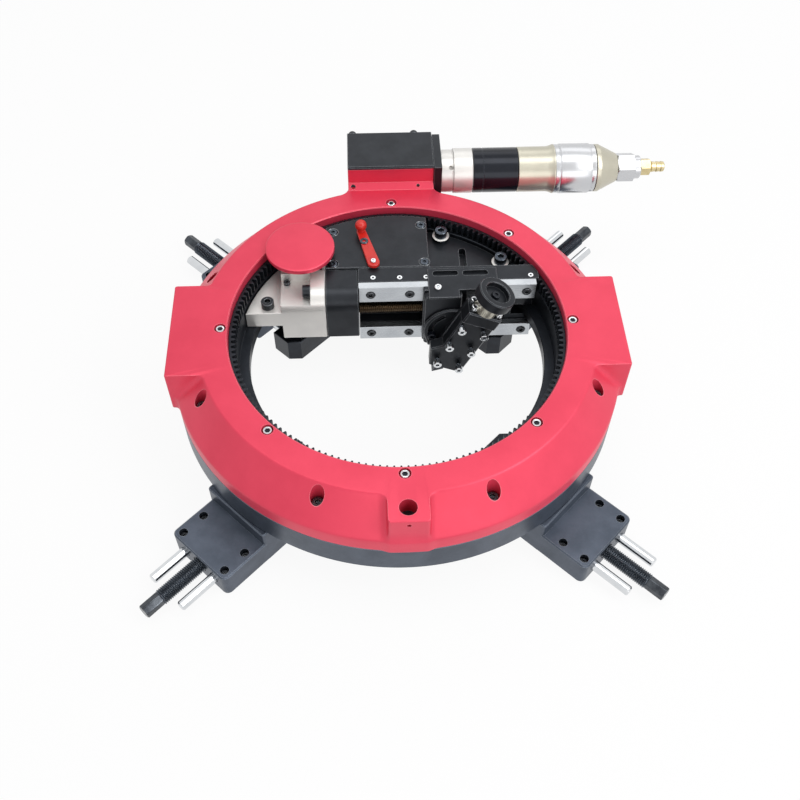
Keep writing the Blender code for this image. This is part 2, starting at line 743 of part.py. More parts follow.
def make_cover_ring():
    hollow_top = COVER_TOP - HOLLOW_DROP
    ring = turned("cover_ring", [
        (COVER_FLAT_R, COVER_TOP), (BASE_R, COVER_TOP - CONE_DROP), (BASE_R, COVER_FOOT),
        (COVER_BORE_R, COVER_FOOT), (COVER_BORE_R, COVER_TOP)])
    for side in (-1, 1):
        near, far = sorted((side * LUG_ROOT, side * LUG_REACH))
        join(ring, box("lug", (near, LUG_FRONT, COVER_FOOT), (far, LUG_REAR, COVER_TOP)))
    nose = [(-NOSE_ROOT_HALF_WIDTH, -NOSE_ROOT), (-NOSE_HALF_WIDTH, -COVER_FLAT_R - NOSE_HALF_WIDTH / 2),
            (-NOSE_HALF_WIDTH, -LUG_REACH), (NOSE_HALF_WIDTH, -LUG_REACH),
            (NOSE_HALF_WIDTH, -COVER_FLAT_R - NOSE_HALF_WIDTH / 2), (NOSE_ROOT_HALF_WIDTH, -NOSE_ROOT)]
    join(ring, plate("nose", [nose], COVER_FOOT, COVER_TOP))
    strip_front = BOX_FRONT - BOX_STRIP
    box_side = [(strip_front, COVER_FOOT), (strip_front, COVER_TOP), (BOX_FRONT, COVER_TOP + BOX_STRIP),
                (BOX_FRONT, BOX_TOP), (BOX_REAR, BOX_TOP), (BOX_REAR, COVER_FOOT)]
    join(ring, upright(plate("drive_box", [box_side], BOX_LEFT, BOX_RIGHT), "x"))
    seat_r = FEED_RING_R + GAP
    seat_foot = FEED_FOOT - GAP
    inside_r = COVER_BORE_R - TOP_PLATE
    cut(ring, turned("cover_hollow", [
        (seat_r, FEED_TOP + GAP), (seat_r, seat_foot), (SHOULDER_R, COVER_TOP - SHOULDER_DROP),
        (HOLLOW_R, hollow_top), (HOLLOW_R, COVER_FOOT - OVERRUN), (inside_r, COVER_FOOT - OVERRUN),
        (inside_r, FEED_TOP + GAP)]))
    for screw in range(COVER_SCREW_COUNT):
        angle = 2 * pi * screw / COVER_SCREW_COUNT
        x = COVER_SCREW_PLACE_R * cos(angle)
        y = COVER_SCREW_PLACE_R * sin(angle)
        drill(ring, COVER_SCREW_SINK_R, (x, y, COVER_TOP - COVER_SCREW_SINK), (x, y, COVER_TOP + OVERRUN),
              SINK_STEPS)
        drill_cone(ring, angle + pi / COVER_SCREW_COUNT)
    drill(ring, NOSE_HOLE_R, (0, -NOSE_HOLE_PLACE, COVER_TOP - NOSE_HOLE_DEPTH),
          (0, -NOSE_HOLE_PLACE, COVER_TOP + OVERRUN))
    axis = (0, DRIVE_AXIS_Y)
    bearing_foot = COVER_TOP - UPPER_BEARING_FOOT
    bearing_top = bearing_foot + BEARING_SMALL_HEIGHT + GAP
    chamber_foot = COVER_TOP - BOX_CHAMBER_DROP
    pocket_r = DRIVE_PINION_R + DRIVE_MODULE + PINION_POCKET_GAP
    drill(ring, pocket_r, (*axis, COVER_FOOT - OVERRUN), (*axis, hollow_top))
    drill(ring, BEARING_SMALL_R + GAP, (*axis, hollow_top - OVERRUN), (*axis, bearing_top))
    drill(ring, BEARING_SMALL_R - BEARING_LIP, (*axis, bearing_foot), (*axis, chamber_foot + OVERRUN))
    drill(ring, BOX_CHAMBER_R, (*axis, chamber_foot), (*axis, BOX_TOP + OVERRUN))
    drill(ring, BOX_SHAFT_BORE_R, (0, DRIVE_AXIS_Y, MOTOR_HEIGHT),
          (BOX_RIGHT + OVERRUN, DRIVE_AXIS_Y, MOTOR_HEIGHT))
    return smooth(red_anodised(finished(ring)))


def drill_cone(ring, angle):
    """A counterbore square to the cone's slope."""
    out = Vector((cos(angle), sin(angle), 0))
    slope = BASE_R - COVER_FLAT_R
    square = (out * CONE_DROP + Vector((0, 0, slope))).normalized()
    drop = (CONE_SCREW_PLACE_R - COVER_FLAT_R) * CONE_DROP / slope
    place = out * CONE_SCREW_PLACE_R + Vector((0, 0, COVER_TOP - drop))
    drill(ring, CONE_SCREW_SINK_R, place - square * CONE_SCREW_SINK,
          place + square * CONE_SCREW_SINK_R, SINK_STEPS)


def make_drive_cap():
    foot = BOX_TOP + GAP
    rear = BOX_REAR + GAP
    side = [(BOX_FRONT, foot), (BOX_FRONT, foot + CAP_HEIGHT - CAP_BEVEL),
            (BOX_FRONT + CAP_BEVEL, foot + CAP_HEIGHT), (rear + CAP_HEIGHT - CAP_BEVEL, foot + CAP_HEIGHT),
            (rear + CAP_HEIGHT, foot + CAP_HEIGHT - CAP_BEVEL), (rear + CAP_HEIGHT, BOX_TOP - CAP_REAR_DROP),
            (rear, BOX_TOP - CAP_REAR_DROP), (rear, foot)]
    cap = upright(plate("drive_cap", [side], BOX_LEFT, BOX_RIGHT), "x")
    height = BOX_TOP - CAP_SCREW_DROP
    for x in (CAP_SCREW_LEFT, CAP_SCREW_RIGHT):
        join(cap, rod("cap_screw", CAP_SCREW_R, (x, rear + CAP_HEIGHT / 2, height),
                      (x, rear + CAP_HEIGHT + CAP_SCREW_HEIGHT, height), SMALL_STEPS))
    return smooth(black_oxide(finished(cap)))


def make_feed_ring_gear():
    root_r = FEED_PITCH_R + GEAR_DEDENDUM_SHARE * FEED_MODULE
    tip_r = FEED_PITCH_R - ADDENDUM_SHARE * FEED_MODULE
    phase = atan2(WHEEL_Y, WHEEL_X)
    teeth = toothed(FEED_RING_TEETH, root_r, tip_r, GEAR_ROOT_SHARE, GEAR_TIP_SHARE, phase)
    gear = plate("feed_ring_gear", [ring_loop(FEED_RING_R, INNER_RING_STEPS), teeth], FEED_FOOT, FEED_TOP)
    return dark_steel(gear)


def make_rotor():
    race_top = BEARING_TOP + GAP
    neck_r = BEARING_INNER_R - GAP
    foot = BASE_FOOT + ROTOR_FOOT_LIFT
    flange_top = ROTOR_TOP - ROTOR_FLANGE_DROP
    ring = turned("rotor_ring", [
        (ROTOR_NECK_R, ROTOR_TOP), (ROTOR_NECK_R, flange_top), (ROTOR_FLANGE_R, flange_top),
        (ROTOR_FLANGE_R, FLANGE_FOOT), (ROTOR_SHOULDER_R, FLANGE_FOOT), (ROTOR_SHOULDER_R, race_top),
        (neck_r, race_top), (neck_r, foot), (ROTOR_SKIRT_R, foot),
        (ROTOR_SKIRT_R, LEDGE_TOP - ROTOR_LEDGE_HEIGHT), (ROTOR_LEDGE_R, LEDGE_TOP - ROTOR_LEDGE_HEIGHT),
        (ROTOR_LEDGE_R, LEDGE_TOP), (ROTOR_WALL_R, LEDGE_TOP), (ROTOR_WALL_R, ROTOR_TOP)],
        INNER_RING_STEPS)
    smooth(dark_steel(finished(ring)))
    teeth = toothed(DRIVE_GEAR_TEETH, DRIVE_GEAR_R - GEAR_DEDENDUM_SHARE * DRIVE_MODULE,
                    DRIVE_GEAR_R + ADDENDUM_SHARE * DRIVE_MODULE, GEAR_ROOT_SHARE, GEAR_TIP_SHARE, pi / 2)
    bore = ring_loop(ROTOR_SHOULDER_R + GAP, INNER_RING_STEPS)
    gear = plate("rotor_gear", [teeth, bore], GEAR_TOP - DRIVE_GEAR_HEIGHT, GEAR_TOP)
    dark_steel(gear)


# Drive train
def make_pinion_shaft():
    top = MOTOR_HEIGHT - BEVEL_NEAR - GAP
    shoulder = COVER_TOP - UPPER_BEARING_FOOT + BEARING_SMALL_HEIGHT
    foot = COVER_TOP - LOWER_BEARING_FOOT
    shaft = turned("pinion_shaft", [
        (0, top), (NECK_R, top), (NECK_R, shoulder), (PINION_SHAFT_R, shoulder),
        (PINION_SHAFT_R, foot), (0, foot)], ROUND_STEPS, closed=False)
    shaft.location = (0, DRIVE_AXIS_Y, 0)
    middle = GEAR_TOP - DRIVE_GEAR_HEIGHT / 2
    phase = -pi / 2 + pi / DRIVE_PINION_TEETH
    outline = pinion_outline(DRIVE_PINION_TEETH, DRIVE_MODULE, phase)
    teeth = plate("drive_pinion_teeth", [outline], middle - DRIVE_PINION_HEIGHT / 2,
                  middle + DRIVE_PINION_HEIGHT / 2)
    teeth.location = shaft.location
    join(shaft, teeth)
    smooth(ground_steel(finished(shaft)))
    for name, low in (("pinion_bearing_upper", COVER_TOP - UPPER_BEARING_FOOT),
                      ("pinion_bearing_lower", foot)):
        high = low + BEARING_SMALL_HEIGHT
        bearing = turned(name, [(BEARING_SMALL_R, high), (BEARING_SMALL_R, low),
                                (BEARING_SMALL_BORE_R, low), (BEARING_SMALL_BORE_R, high)], ROUND_STEPS)
        bearing.location = (0, DRIVE_AXIS_Y, 0)
        smooth(ground_steel(finished(bearing)))


def make_bevel_pair():
    wheel = bevel_cone("drive_bevel_gear", 0)
    wheel.data.transform(Matrix.Rotation(pi, 4, "X"))
    wheel.location = (0, DRIVE_AXIS_Y, MOTOR_HEIGHT)
    far = MOTOR_HEIGHT - BEVEL_FAR
    join(wheel, rod("bevel_hub", BEVEL_HUB_R, (0, DRIVE_AXIS_Y, far - BEVEL_HUB_HEIGHT),
                    (0, DRIVE_AXIS_Y, far + BEVEL_HUB_HEIGHT / 2)))
    drill(wheel, NECK_R + NECK_FIT, (0, DRIVE_AXIS_Y, far - BEVEL_FAR), (0, DRIVE_AXIS_Y, MOTOR_HEIGHT))
    ground_steel(finished(wheel))
    shaft = bevel_cone("motor_shaft", pi / BEVEL_TEETH)
    shaft.data.transform(Matrix.Rotation(pi / 2, 4, "Y"))
    shaft.location = (0, DRIVE_AXIS_Y, MOTOR_HEIGHT)
    join(shaft, rod("motor_bar", MOTOR_SHAFT_R,
                    (BEVEL_FAR - BEVEL_HUB_HEIGHT / 2, DRIVE_AXIS_Y, MOTOR_HEIGHT),
                    (MOTOR_SHAFT_END, DRIVE_AXIS_Y, MOTOR_HEIGHT)))
    ground_steel(finished(shaft))


def motor_piece(name, profile, steps=ROUND_STEPS, closed=True):
    """A turned piece of the motor, from its profile of radius and place along X."""
    piece = turned(name, list(reversed(profile)), steps, closed)
    return swept_along_x(piece, MOTOR_HEIGHT)


def make_motor():
    foot = COVER_TOP - FLANGE_DROP
    slope = CONE_DROP / (BASE_R - COVER_FLAT_R)
    front_height = COVER_TOP - (hypot(BOX_RIGHT, FLANGE_FRONT) - COVER_FLAT_R) * slope
    foot_y = sqrt((COVER_FLAT_R + FLANGE_DROP / slope) ** 2 - BOX_RIGHT ** 2)
    outline = [(FLANGE_FRONT, front_height + GAP * 2), (foot_y + GAP * 2, foot), (FLANGE_REAR, foot),
               (FLANGE_REAR, BOX_TOP + CAP_HEIGHT), (FLANGE_FRONT, BOX_TOP + CAP_HEIGHT)]
    flange = upright(plate("motor_flange", [outline], BOX_RIGHT + GAP, FLANGE_END), "x")
    drill(flange, BOX_SHAFT_BORE_R, (BOX_RIGHT - OVERRUN, DRIVE_AXIS_Y, MOTOR_HEIGHT),
          (FLANGE_END + OVERRUN, DRIVE_AXIS_Y, MOTOR_HEIGHT))
    black_oxide(finished(flange))
    start = FLANGE_END + GAP
    adapter = motor_piece("motor_adapter", [
        (MOTOR_BORE_R, start), (ADAPTER_NECK_R, start), (ADAPTER_NECK_R, ADAPTER_STEP),
        (ADAPTER_R, ADAPTER_STEP), (ADAPTER_R, ADAPTER_END), (MOTOR_BORE_R, ADAPTER_END)])
    smooth(bare_aluminium(finished(adapter)))
    start = ADAPTER_END + GAP
    blind = MOTOR_SHAFT_END + GAP
    case = motor_piece("motor_gearcase", [
        (0, blind), (MOTOR_BORE_R, blind), (MOTOR_BORE_R, start), (GEARCASE_R, start),
        (GEARCASE_R, GEARCASE_END), (0, GEARCASE_END)], closed=False)
    smooth(black_oxide(finished(case)))
    start = GEARCASE_END + GAP
    body = motor_piece("motor_body", [
        (0, start), (MOTOR_R, start), (MOTOR_R, MOTOR_BODY_END), (SLEEVE_R - GAP, MOTOR_FLARE_END),
        (SPIGOT_R, MOTOR_FLARE_END), (SPIGOT_R, SLEEVE_END), (0, SLEEVE_END)], closed=False)
    smooth(champagne(finished(body)))
    start = MOTOR_FLARE_END + GAP
    groove_start = start + SLEEVE_GROOVE_INSET
    groove_end = SLEEVE_END - SLEEVE_GROOVE_INSET
    groove_r = SLEEVE_R - SLEEVE_GROOVE
    bore_r = SPIGOT_R + RUNNING_GAP / 2
    sleeve = motor_piece("throttle_sleeve", [
        (bore_r, start), (SLEEVE_R - SLEEVE_GROOVE, start), (SLEEVE_R, groove_start),
        (SLEEVE_R, groove_end), (groove_r, groove_end), (groove_r, SLEEVE_END - GAP),
        (bore_r, SLEEVE_END - GAP)])
    smooth(ground_steel(finished(sleeve)))
    make_motor_end()


def make_motor_end():
    start = SLEEVE_END + GAP
    shoulder = start + SLEEVE_GROOVE_INSET
    cone = motor_piece("motor_end_cone", [
        (AIR_BORE_R, start), (SLEEVE_R - SLEEVE_GROOVE, start), (SLEEVE_R - SLEEVE_GROOVE, shoulder),
        (CONE_END_R, CONE_END), (AIR_BORE_R, CONE_END)])
    smooth(champagne(finished(cone)))
    inlet = hex_and_round("inlet_nut", CONE_END + GAP, INLET_FLATS_END, INLET_END, INLET_ACROSS_FLATS,
                          INLET_R)
    ground_steel(inlet)
    nipple = hex_and_round("inlet_nipple", INLET_END + GAP, NIPPLE_FLATS_END, NIPPLE_END,
                           NIPPLE_ACROSS_FLATS, NIPPLE_R)
    brass(nipple)


def hex_and_round(name, start, flats_end, end, across_flats, radius):
    """A fitting along the motor's axis: a hexagon, a round end and an air bore."""
    centre = (DRIVE_AXIS_Y, MOTOR_HEIGHT)
    piece = rod(name, across_flats / 2 / cos(pi / 6), (start, *centre), (flats_end, *centre), 6)
    join(piece, rod(name + "_round", radius, (flats_end - GAP, *centre), (end, *centre)))
    drill(piece, AIR_BORE_R, (start - OVERRUN, *centre), (end + OVERRUN, *centre), SMALL_STEPS)
    return finished(piece)


# Clamp legs
def leg_meshes():
    """The meshes of one leg's five kinds of piece, in the leg's own frame."""
    pad = rounded([(PAD_INNER, -PAD_HALF_WIDTH), (PAD_OUTER, -PAD_HALF_WIDTH),
                   (PAD_OUTER, PAD_HALF_WIDTH), (PAD_INNER, PAD_HALF_WIDTH)], [PAD_CORNER] * 4)
    block_inner = PAD_OUTER - BLOCK_JOIN
    block_outline = rounded([(block_inner, -BLOCK_HALF_WIDTH), (BLOCK_OUTER, -BLOCK_HALF_WIDTH),
                             (BLOCK_OUTER, BLOCK_HALF_WIDTH), (block_inner, BLOCK_HALF_WIDTH)],
                            [0, BLOCK_CORNER, BLOCK_CORNER, 0])
    clamp = plate("clamp_block", [pad], 0, PAD_HEIGHT)
    join(clamp, plate("clamp_low", [block_outline], 0, BLOCK_HEIGHT))
    inside = PAD_INNER - OVERRUN
    outside = BLOCK_OUTER + OVERRUN
    for side in (-ROD_ACROSS, ROD_ACROSS):
        drill(clamp, ROD_R + ROD_FIT, (inside, side, ROD_HEIGHT), (outside, side, ROD_HEIGHT), SMALL_STEPS)
    drill(clamp, SCREW_R + SCREW_FIT, (inside, 0, ROD_HEIGHT), (outside, 0, ROD_HEIGHT), BORE_STEPS)
    for place in (BLOCK_SCREW_INNER, BLOCK_SCREW_INNER + BLOCK_SCREW_PITCH):
        for side in (-BLOCK_SCREW_ACROSS, BLOCK_SCREW_ACROSS):
            drill(clamp, BLOCK_SCREW_HOLE_R, (place, side, BLOCK_HEIGHT - BLOCK_SCREW_DEPTH),
                  (place, side, BLOCK_HEIGHT + OVERRUN), SINK_STEPS)
    jaw_top = JAW_LIFT + JAW_HEIGHT
    wide = JAW_HALF_WIDTH
    narrow = JAW_HALF_WIDTH - JAW_CHAMFER
    chamfer_end = JAW_FRONT + JAW_CHAMFER
    jaw_outline = [(JAW_FRONT, -narrow), (chamfer_end, -wide), (JAW_BACK, -wide),
                   (JAW_BACK, wide), (chamfer_end, wide), (JAW_FRONT, narrow)]
    jaw = plate("jaw", [jaw_outline], JAW_LIFT, jaw_top)
    for side in (-ROD_ACROSS, ROD_ACROSS):
        drill(jaw, ROD_R + ROD_FIT, (JAW_BACK - ROD_SEAT - GAP, side, ROD_HEIGHT),
              (JAW_BACK + OVERRUN, side, ROD_HEIGHT), SMALL_STEPS)
    drill(jaw, SCREW_R + SCREW_FIT, (SCREW_START - GAP, 0, ROD_HEIGHT), (JAW_BACK + OVERRUN, 0, ROD_HEIGHT),
          BORE_STEPS)
    screw = rod("jack_screw", SCREW_R, (SCREW_START, 0, ROD_HEIGHT), (SCREW_END, 0, ROD_HEIGHT))
    join(screw, rod("jack_hex", HEX_R, (SCREW_END - GAP, 0, ROD_HEIGHT), (HEX_END, 0, ROD_HEIGHT), 6))
    guide = rod("guide_rod", ROD_R, (JAW_BACK - ROD_SEAT, 0, ROD_HEIGHT), (ROD_OUTER, 0, ROD_HEIGHT),
                SMALL_STEPS)
    return [smooth(finished(piece)) for piece in (clamp, jaw, screw, guide)]


def make_legs():
    clamp, jaw, screw, guide = leg_meshes()
    for angle, where in zip(LEG_ANGLES, LEG_NAMES):
        copies = [("clamp_block_", clamp, 0, dark_steel), ("jaw_", jaw, 0, dark_steel),
                  ("jack_screw_", screw, 0, black_oxide),
                  ("guide_rod_a_", guide, -ROD_ACROSS, ground_steel),
                  ("guide_rod_b_", guide, ROD_ACROSS, ground_steel)]
        turn = Matrix.Rotation(radians(angle), 4, "Z")
        for prefix, source, across, finish in copies:
            piece = new_object(prefix + where, source.data.copy())
            piece.matrix_basis = turn @ Matrix.Translation((0, across, 0))
            finish(piece)
            if source is screw:
                piece.data.transform(Matrix.Translation((0, 0, -ROD_HEIGHT)))
                piece.matrix_basis = turn @ Matrix.Translation((0, 0, ROD_HEIGHT))
    for source in (clamp, jaw, screw, guide):
        bpy.data.objects.remove(source)


# Tool arm on the rotor
def bow(left, right, front, radius):
    """A plate inside the ring: straight at the front and sides, round at the back."""
    start = atan2(sqrt(max(radius ** 2 - right ** 2, 0)), right)
    end = atan2(sqrt(max(radius ** 2 - left ** 2, 0)), left)
    corner = atan2(front, sqrt(radius ** 2 - front ** 2))
    back = arc((0, 0), radius, max(start, corner), min(end, pi - corner), RING_STEPS // 4)
    return [(max(left, back[-1][0]), front), (min(right, back[0][0]), front)] + back


def make_arm_plate():
    low = LEDGE_TOP + GAP
    high = COVER_TOP - ARM_TOP_DROP
    arm = plate("arm_plate", [bow(ARM_LEFT, ARM_R, ARM_FRONT, ARM_R)], low, high)
    half = GROOVE_WIDTH / 2
    groove = rounded([(GROOVE_X - half, GROOVE_FRONT), (GROOVE_X + half, GROOVE_FRONT),
                      (GROOVE_X + half, GROOVE_REAR), (GROOVE_X - half, GROOVE_REAR)],
                     [half - GAP] * 4)
    cut(arm, plate("arm_groove", [groove], high - GROOVE_DEPTH, high + OVERRUN))
    return black_oxide(finished(arm))


def make_gear_cover():
    low = COVER_TOP - ARM_TOP_DROP + GAP
    high = COVER_TOP - GEAR_COVER_DROP
    lid_foot = high - GEAR_COVER_LID
    left = ARM_LEFT
    cover = plate("gear_cover", [bow(left, GEAR_COVER_RIGHT, ARM_FRONT, GEAR_COVER_LID_R)], lid_foot, high)
    join(cover, plate("gear_cover_walls", [bow(left, GEAR_COVER_RIGHT, ARM_FRONT, ARM_R)],
                      low, lid_foot + GEAR_COVER_WALL / 2))
    wall = GEAR_COVER_WALL
    inside = bow(left + wall, GEAR_COVER_RIGHT - wall, ARM_FRONT + wall, ARM_R - wall)
    cut(cover, plate("gear_cover_inside", [inside], low - OVERRUN, high - wall))
    return black_oxide(finished(cover))


def barrel_side():
    """The side outline that the feed bracket's barrel and the bearing block share."""
    foot = COVER_TOP - BARREL_FOOT_DROP
    top = COVER_TOP - BARREL_TOP_DROP
    axis_height = LEDGE_TOP + GAP * 3
    axis = (BARREL_WALL, axis_height)
    nose = arc(axis, BARREL_ROUND_R, pi / 2, pi, CORNER_STEPS * 2)
    return [(BARREL_REAR, foot), (BARREL_REAR, top), (BARREL_WALL, top)] + nose + [
        (BARREL_WALL - BARREL_ROUND_R, foot)]


def make_feed_bracket():
    low = LEDGE_TOP + GAP
    high = COVER_TOP - ARM_TOP_DROP
    flange = bow(-ARM_R, BRACKET_RIGHT, BRACKET_FRONT, ARM_R)
    bracket = plate("feed_bracket", [flange], low, high)
    join(bracket, upright(plate("barrel", [barrel_side()], BARREL_LEFT, BRACKET_RIGHT), "x"))
    floor = COVER_TOP - POCKET_FLOOR_DROP
    cut(bracket, box("pocket", (POCKET_LEFT, POCKET_FRONT, floor), (POCKET_RIGHT, POCKET_REAR, COVER_TOP)))
    drill(bracket, WHEEL_SHAFT_R + GAP, (WHEEL_X, WHEEL_Y, low - OVERRUN),
          (WHEEL_X, WHEEL_Y, high + OVERRUN))
    drill(bracket, FEED_PINION_R + FEED_MODULE + GAP * 2,
          (WHEEL_X, WHEEL_Y, FEED_TOP - FEED_PINION_HEIGHT - GAP), (WHEEL_X, WHEEL_Y, COVER_TOP))
    drill_lead_screw(bracket)
    return bare_aluminium(finished(bracket))


def drill_lead_screw(piece):
    """The running bore for the lead screw, blind at the screw's left end."""
    height = COVER_TOP - LEAD_SCREW_DROP
    left = LEAD_SCREW_LEFT - GAP
    drill(piece, LEAD_SCREW_R + LEAD_SCREW_FIT, (left, LEAD_SCREW_Y, height),
          (LEAD_SCREW_RIGHT + GAP, LEAD_SCREW_Y, height))


def make_bearing_block():
    block = upright(plate("bearing_block", [barrel_side()], ARM_LEFT - GAP, BEARING_BLOCK_RIGHT), "x")
    drill_lead_screw(block)
    return black_oxide(finished(block))


def make_slide_base():
    top = COVER_TOP - SLIDE_TOP_DROP
    foot = COVER_TOP - SLIDE_FOOT_DROP
    strip_foot = top - STRIP_HEIGHT
    waist_top = COVER_TOP - SLIDE_WAIST_TOP
    waist_foot = COVER_TOP - SLIDE_WAIST_FOOT
    strip = [(SLIDE_LEFT, SLIDE_FRONT), (STRIP_RIGHT, SLIDE_FRONT), (STRIP_RIGHT, STRIP_BEVEL_Y),
             (STRIP_REAR_RIGHT, SLIDE_REAR), (SLIDE_LEFT, SLIDE_REAR)]
    flange = [(SLIDE_LEFT, SLIDE_FRONT), (SLIDE_RIGHT, SLIDE_FRONT),
              (SLIDE_RIGHT - SLIDE_BEVEL / 4, SLIDE_FRONT + SLIDE_BEVEL),
              (SLIDE_REAR_RIGHT, SLIDE_REAR), (SLIDE_LEFT, SLIDE_REAR)]
    base = plate("slide_base", [strip], strip_foot, top)
    join(base, plate("slide_top", [flange], waist_top, strip_foot + SLIDE_BEVEL))
    join(base, plate("slide_foot", [flange], foot, waist_foot))
    join(base, box("slide_waist", (SLIDE_LEFT, SLIDE_FRONT, waist_foot - SLIDE_BEVEL),
                   (SLIDE_WAIST_RIGHT, SLIDE_REAR, waist_top + SLIDE_BEVEL)))
    cut(base, box("channel", (SLIDE_LEFT - OVERRUN, SLIDE_FRONT - OVERRUN, COVER_TOP - CHANNEL_FOOT_DROP),
                  (CHANNEL_RIGHT, CHANNEL_REAR, COVER_TOP - CHANNEL_TOP_DROP)))
    drill_lead_screw(base)
    return black_oxide(finished(base))


def make_rails():
    rear = SLIDE_FRONT - GAP
    front = rear - RAIL_THICKNESS
    top = COVER_TOP - SLIDE_TOP_DROP
    foot = COVER_TOP - SLIDE_FOOT_DROP
    for name, low, high in (("rail_upper", top - RAIL_HEIGHT, top),
                            ("rail_lower", foot, foot + RAIL_FOOT_HEIGHT)):
        rail = box(name, (SLIDE_LEFT, front, low), (SLIDE_RIGHT, rear, high))
        height = (low + high) / 2
        for bolt in range(RAIL_BOLT_COUNT):
            x = SLIDE_LEFT + RAIL_BOLT_FIRST + bolt * RAIL_BOLT_PITCH
            drill(rail, RAIL_BOLT_SINK_R, (x, front - OVERRUN, height), (x, front + RAIL_BOLT_SINK, height),
                  SINK_STEPS)
        ground_steel(finished(rail))


def make_lead_screw():
    height = COVER_TOP - LEAD_SCREW_DROP
    screw = rod("lead_screw", LEAD_SCREW_R, (LEAD_SCREW_LEFT, LEAD_SCREW_Y, height),
                (LEAD_SCREW_RIGHT, LEAD_SCREW_Y, height))
    put_origin(screw, (0, LEAD_SCREW_Y, height))
    return smooth(brass(screw))


def make_carriage():
    rail_front = SLIDE_FRONT - GAP - RAIL_THICKNESS
    saddle_rear = rail_front - GAP
    saddle_front = saddle_rear - SADDLE_THICKNESS
    top = COVER_TOP - TABLE_DROP
    table_foot = top - TABLE_THICKNESS
    height = COVER_TOP - LEAD_SCREW_DROP
    carriage = box("carriage", (SADDLE_LEFT, saddle_front, COVER_TOP - SADDLE_FOOT_DROP),
                   (SADDLE_RIGHT, saddle_rear, table_foot + TABLE_THICKNESS / 2))
    table = [(TABLE_LEFT, TABLE_FRONT), (TABLE_STEP, TABLE_FRONT), (TABLE_STEP, TABLE_STEP_Y),
             (TABLE_RIGHT, TABLE_STEP_Y), (TABLE_RIGHT, TABLE_REAR), (TABLE_LEFT, TABLE_REAR)]
    join(carriage, plate("table", [table], table_foot, top))
    join(carriage, box("nut", (NUT_LEFT, saddle_rear - SADDLE_THICKNESS / 2, height - NUT_HALF_HEIGHT),
                       (NUT_RIGHT, NUT_REAR, height + NUT_HALF_HEIGHT)))
    drill(carriage, LEAD_SCREW_R + LEAD_SCREW_FIT, (NUT_LEFT - OVERRUN, LEAD_SCREW_Y, height),
          (NUT_RIGHT + OVERRUN, LEAD_SCREW_Y, height))
    for slot in range(TABLE_SLOT_COUNT):
        x = TABLE_SLOT_FIRST + slot * TABLE_SLOT_PITCH
        half = TABLE_SLOT_LENGTH / 2
        ends = rounded([(x - half, TABLE_SLOT_Y - TABLE_SLOT_R), (x + half, TABLE_SLOT_Y - TABLE_SLOT_R),
                        (x + half, TABLE_SLOT_Y + TABLE_SLOT_R), (x - half, TABLE_SLOT_Y + TABLE_SLOT_R)],
                       [TABLE_SLOT_R - GAP] * 4)
        cut(carriage, plate("slot", [ends], top - TABLE_THICKNESS / 2, top + OVERRUN))
    return black_oxide(finished(carriage))


def make_swivel_plate():
    """The quadrant plate on the carriage, with the arc slot round the tool block's pivot."""
    rear = SLIDE_FRONT - GAP - RAIL_THICKNESS - GAP - SADDLE_THICKNESS - GAP
    top = COVER_TOP - SWIVEL_TOP_DROP
    foot = COVER_TOP - SWIVEL_FOOT_DROP
    pivot = (PIVOT_X, COVER_TOP - PIVOT_DROP)
    outline = rounded([(SWIVEL_PLATE_LEFT, foot), (SWIVEL_FOOT_RIGHT, foot),
                       (SWIVEL_PLATE_RIGHT, COVER_TOP - SWIVEL_SIDE_DROP), (SWIVEL_PLATE_RIGHT, top),
                       (SWIVEL_PLATE_LEFT, top)], [SWIVEL_CORNER, SWIVEL_CORNER, 0, 0, SWIVEL_CORNER])
    swivel = upright(plate("swivel_plate", [outline], SWIVEL_FRONT, rear))
    outside = arc(pivot, ARC_SLOT_R + ARC_SLOT_HALF_WIDTH, ARC_SLOT_START, ARC_SLOT_END, RING_STEPS // 6)
    inside = arc(pivot, ARC_SLOT_R - ARC_SLOT_HALF_WIDTH, ARC_SLOT_END, ARC_SLOT_START, RING_STEPS // 6)
    cut(swivel, upright(plate("arc_slot", [outside + inside], SWIVEL_FRONT - OVERRUN,
                              SWIVEL_FRONT + ARC_SLOT_DEPTH)))
    return black_oxide(finished(swivel))


def tilted(side, depth):
    """X and Z of a place on the tool block, from its place across and down the tilted slide."""
    return (side * cos(TILT) - depth * sin(TILT), COVER_TOP - depth * cos(TILT) - side * sin(TILT))


def tilted_plate(name, corners, front, rear):
    return upright(plate(name, [[tilted(*corner) for corner in corners]], front, rear))


def tilted_point(depth, y=None):
    x, z = tilted(TOOL_SIDE, depth)
    return (x, DEPTH_AXIS_Y if y is None else y, z)


def make_tool_base():
    """The plate that swivels on the pivot, with the bar that holds the depth screw."""
    left = TOOL_SIDE - TOOL_HALF_WIDTH
    right = TOOL_SIDE + TOOL_HALF_WIDTH
    rear = SWIVEL_FRONT - GAP
    base = tilted_plate("tool_base", [
        (left, BAR_TOP), (right, BAR_TOP), (right, BASE_PLATE_FOOT - BASE_PLATE_CORNER),
        (right - BASE_PLATE_CORNER, BASE_PLATE_FOOT), (left, BASE_PLATE_FOOT)], BASE_PLATE_FRONT, rear)
    bar = tilted_plate("bar", [
        (left, BAR_TOP), (right, BAR_TOP), (right, BAR_FOOT), (left, BAR_FOOT)],
        BAR_DEPTH_FRONT, BASE_PLATE_FRONT + BAR_SLOPE / 2)
    join(base, bar)
    drill(base, DEPTH_SCREW_R + DEPTH_SCREW_FIT, tilted_point(BAR_TOP - OVERRUN),
          tilted_point(BAR_FOOT + OVERRUN), SMALL_STEPS)
    put_origin(finished(base), (PIVOT_X, SWIVEL_FRONT, COVER_TOP - PIVOT_DROP))
    return black_oxide(base)


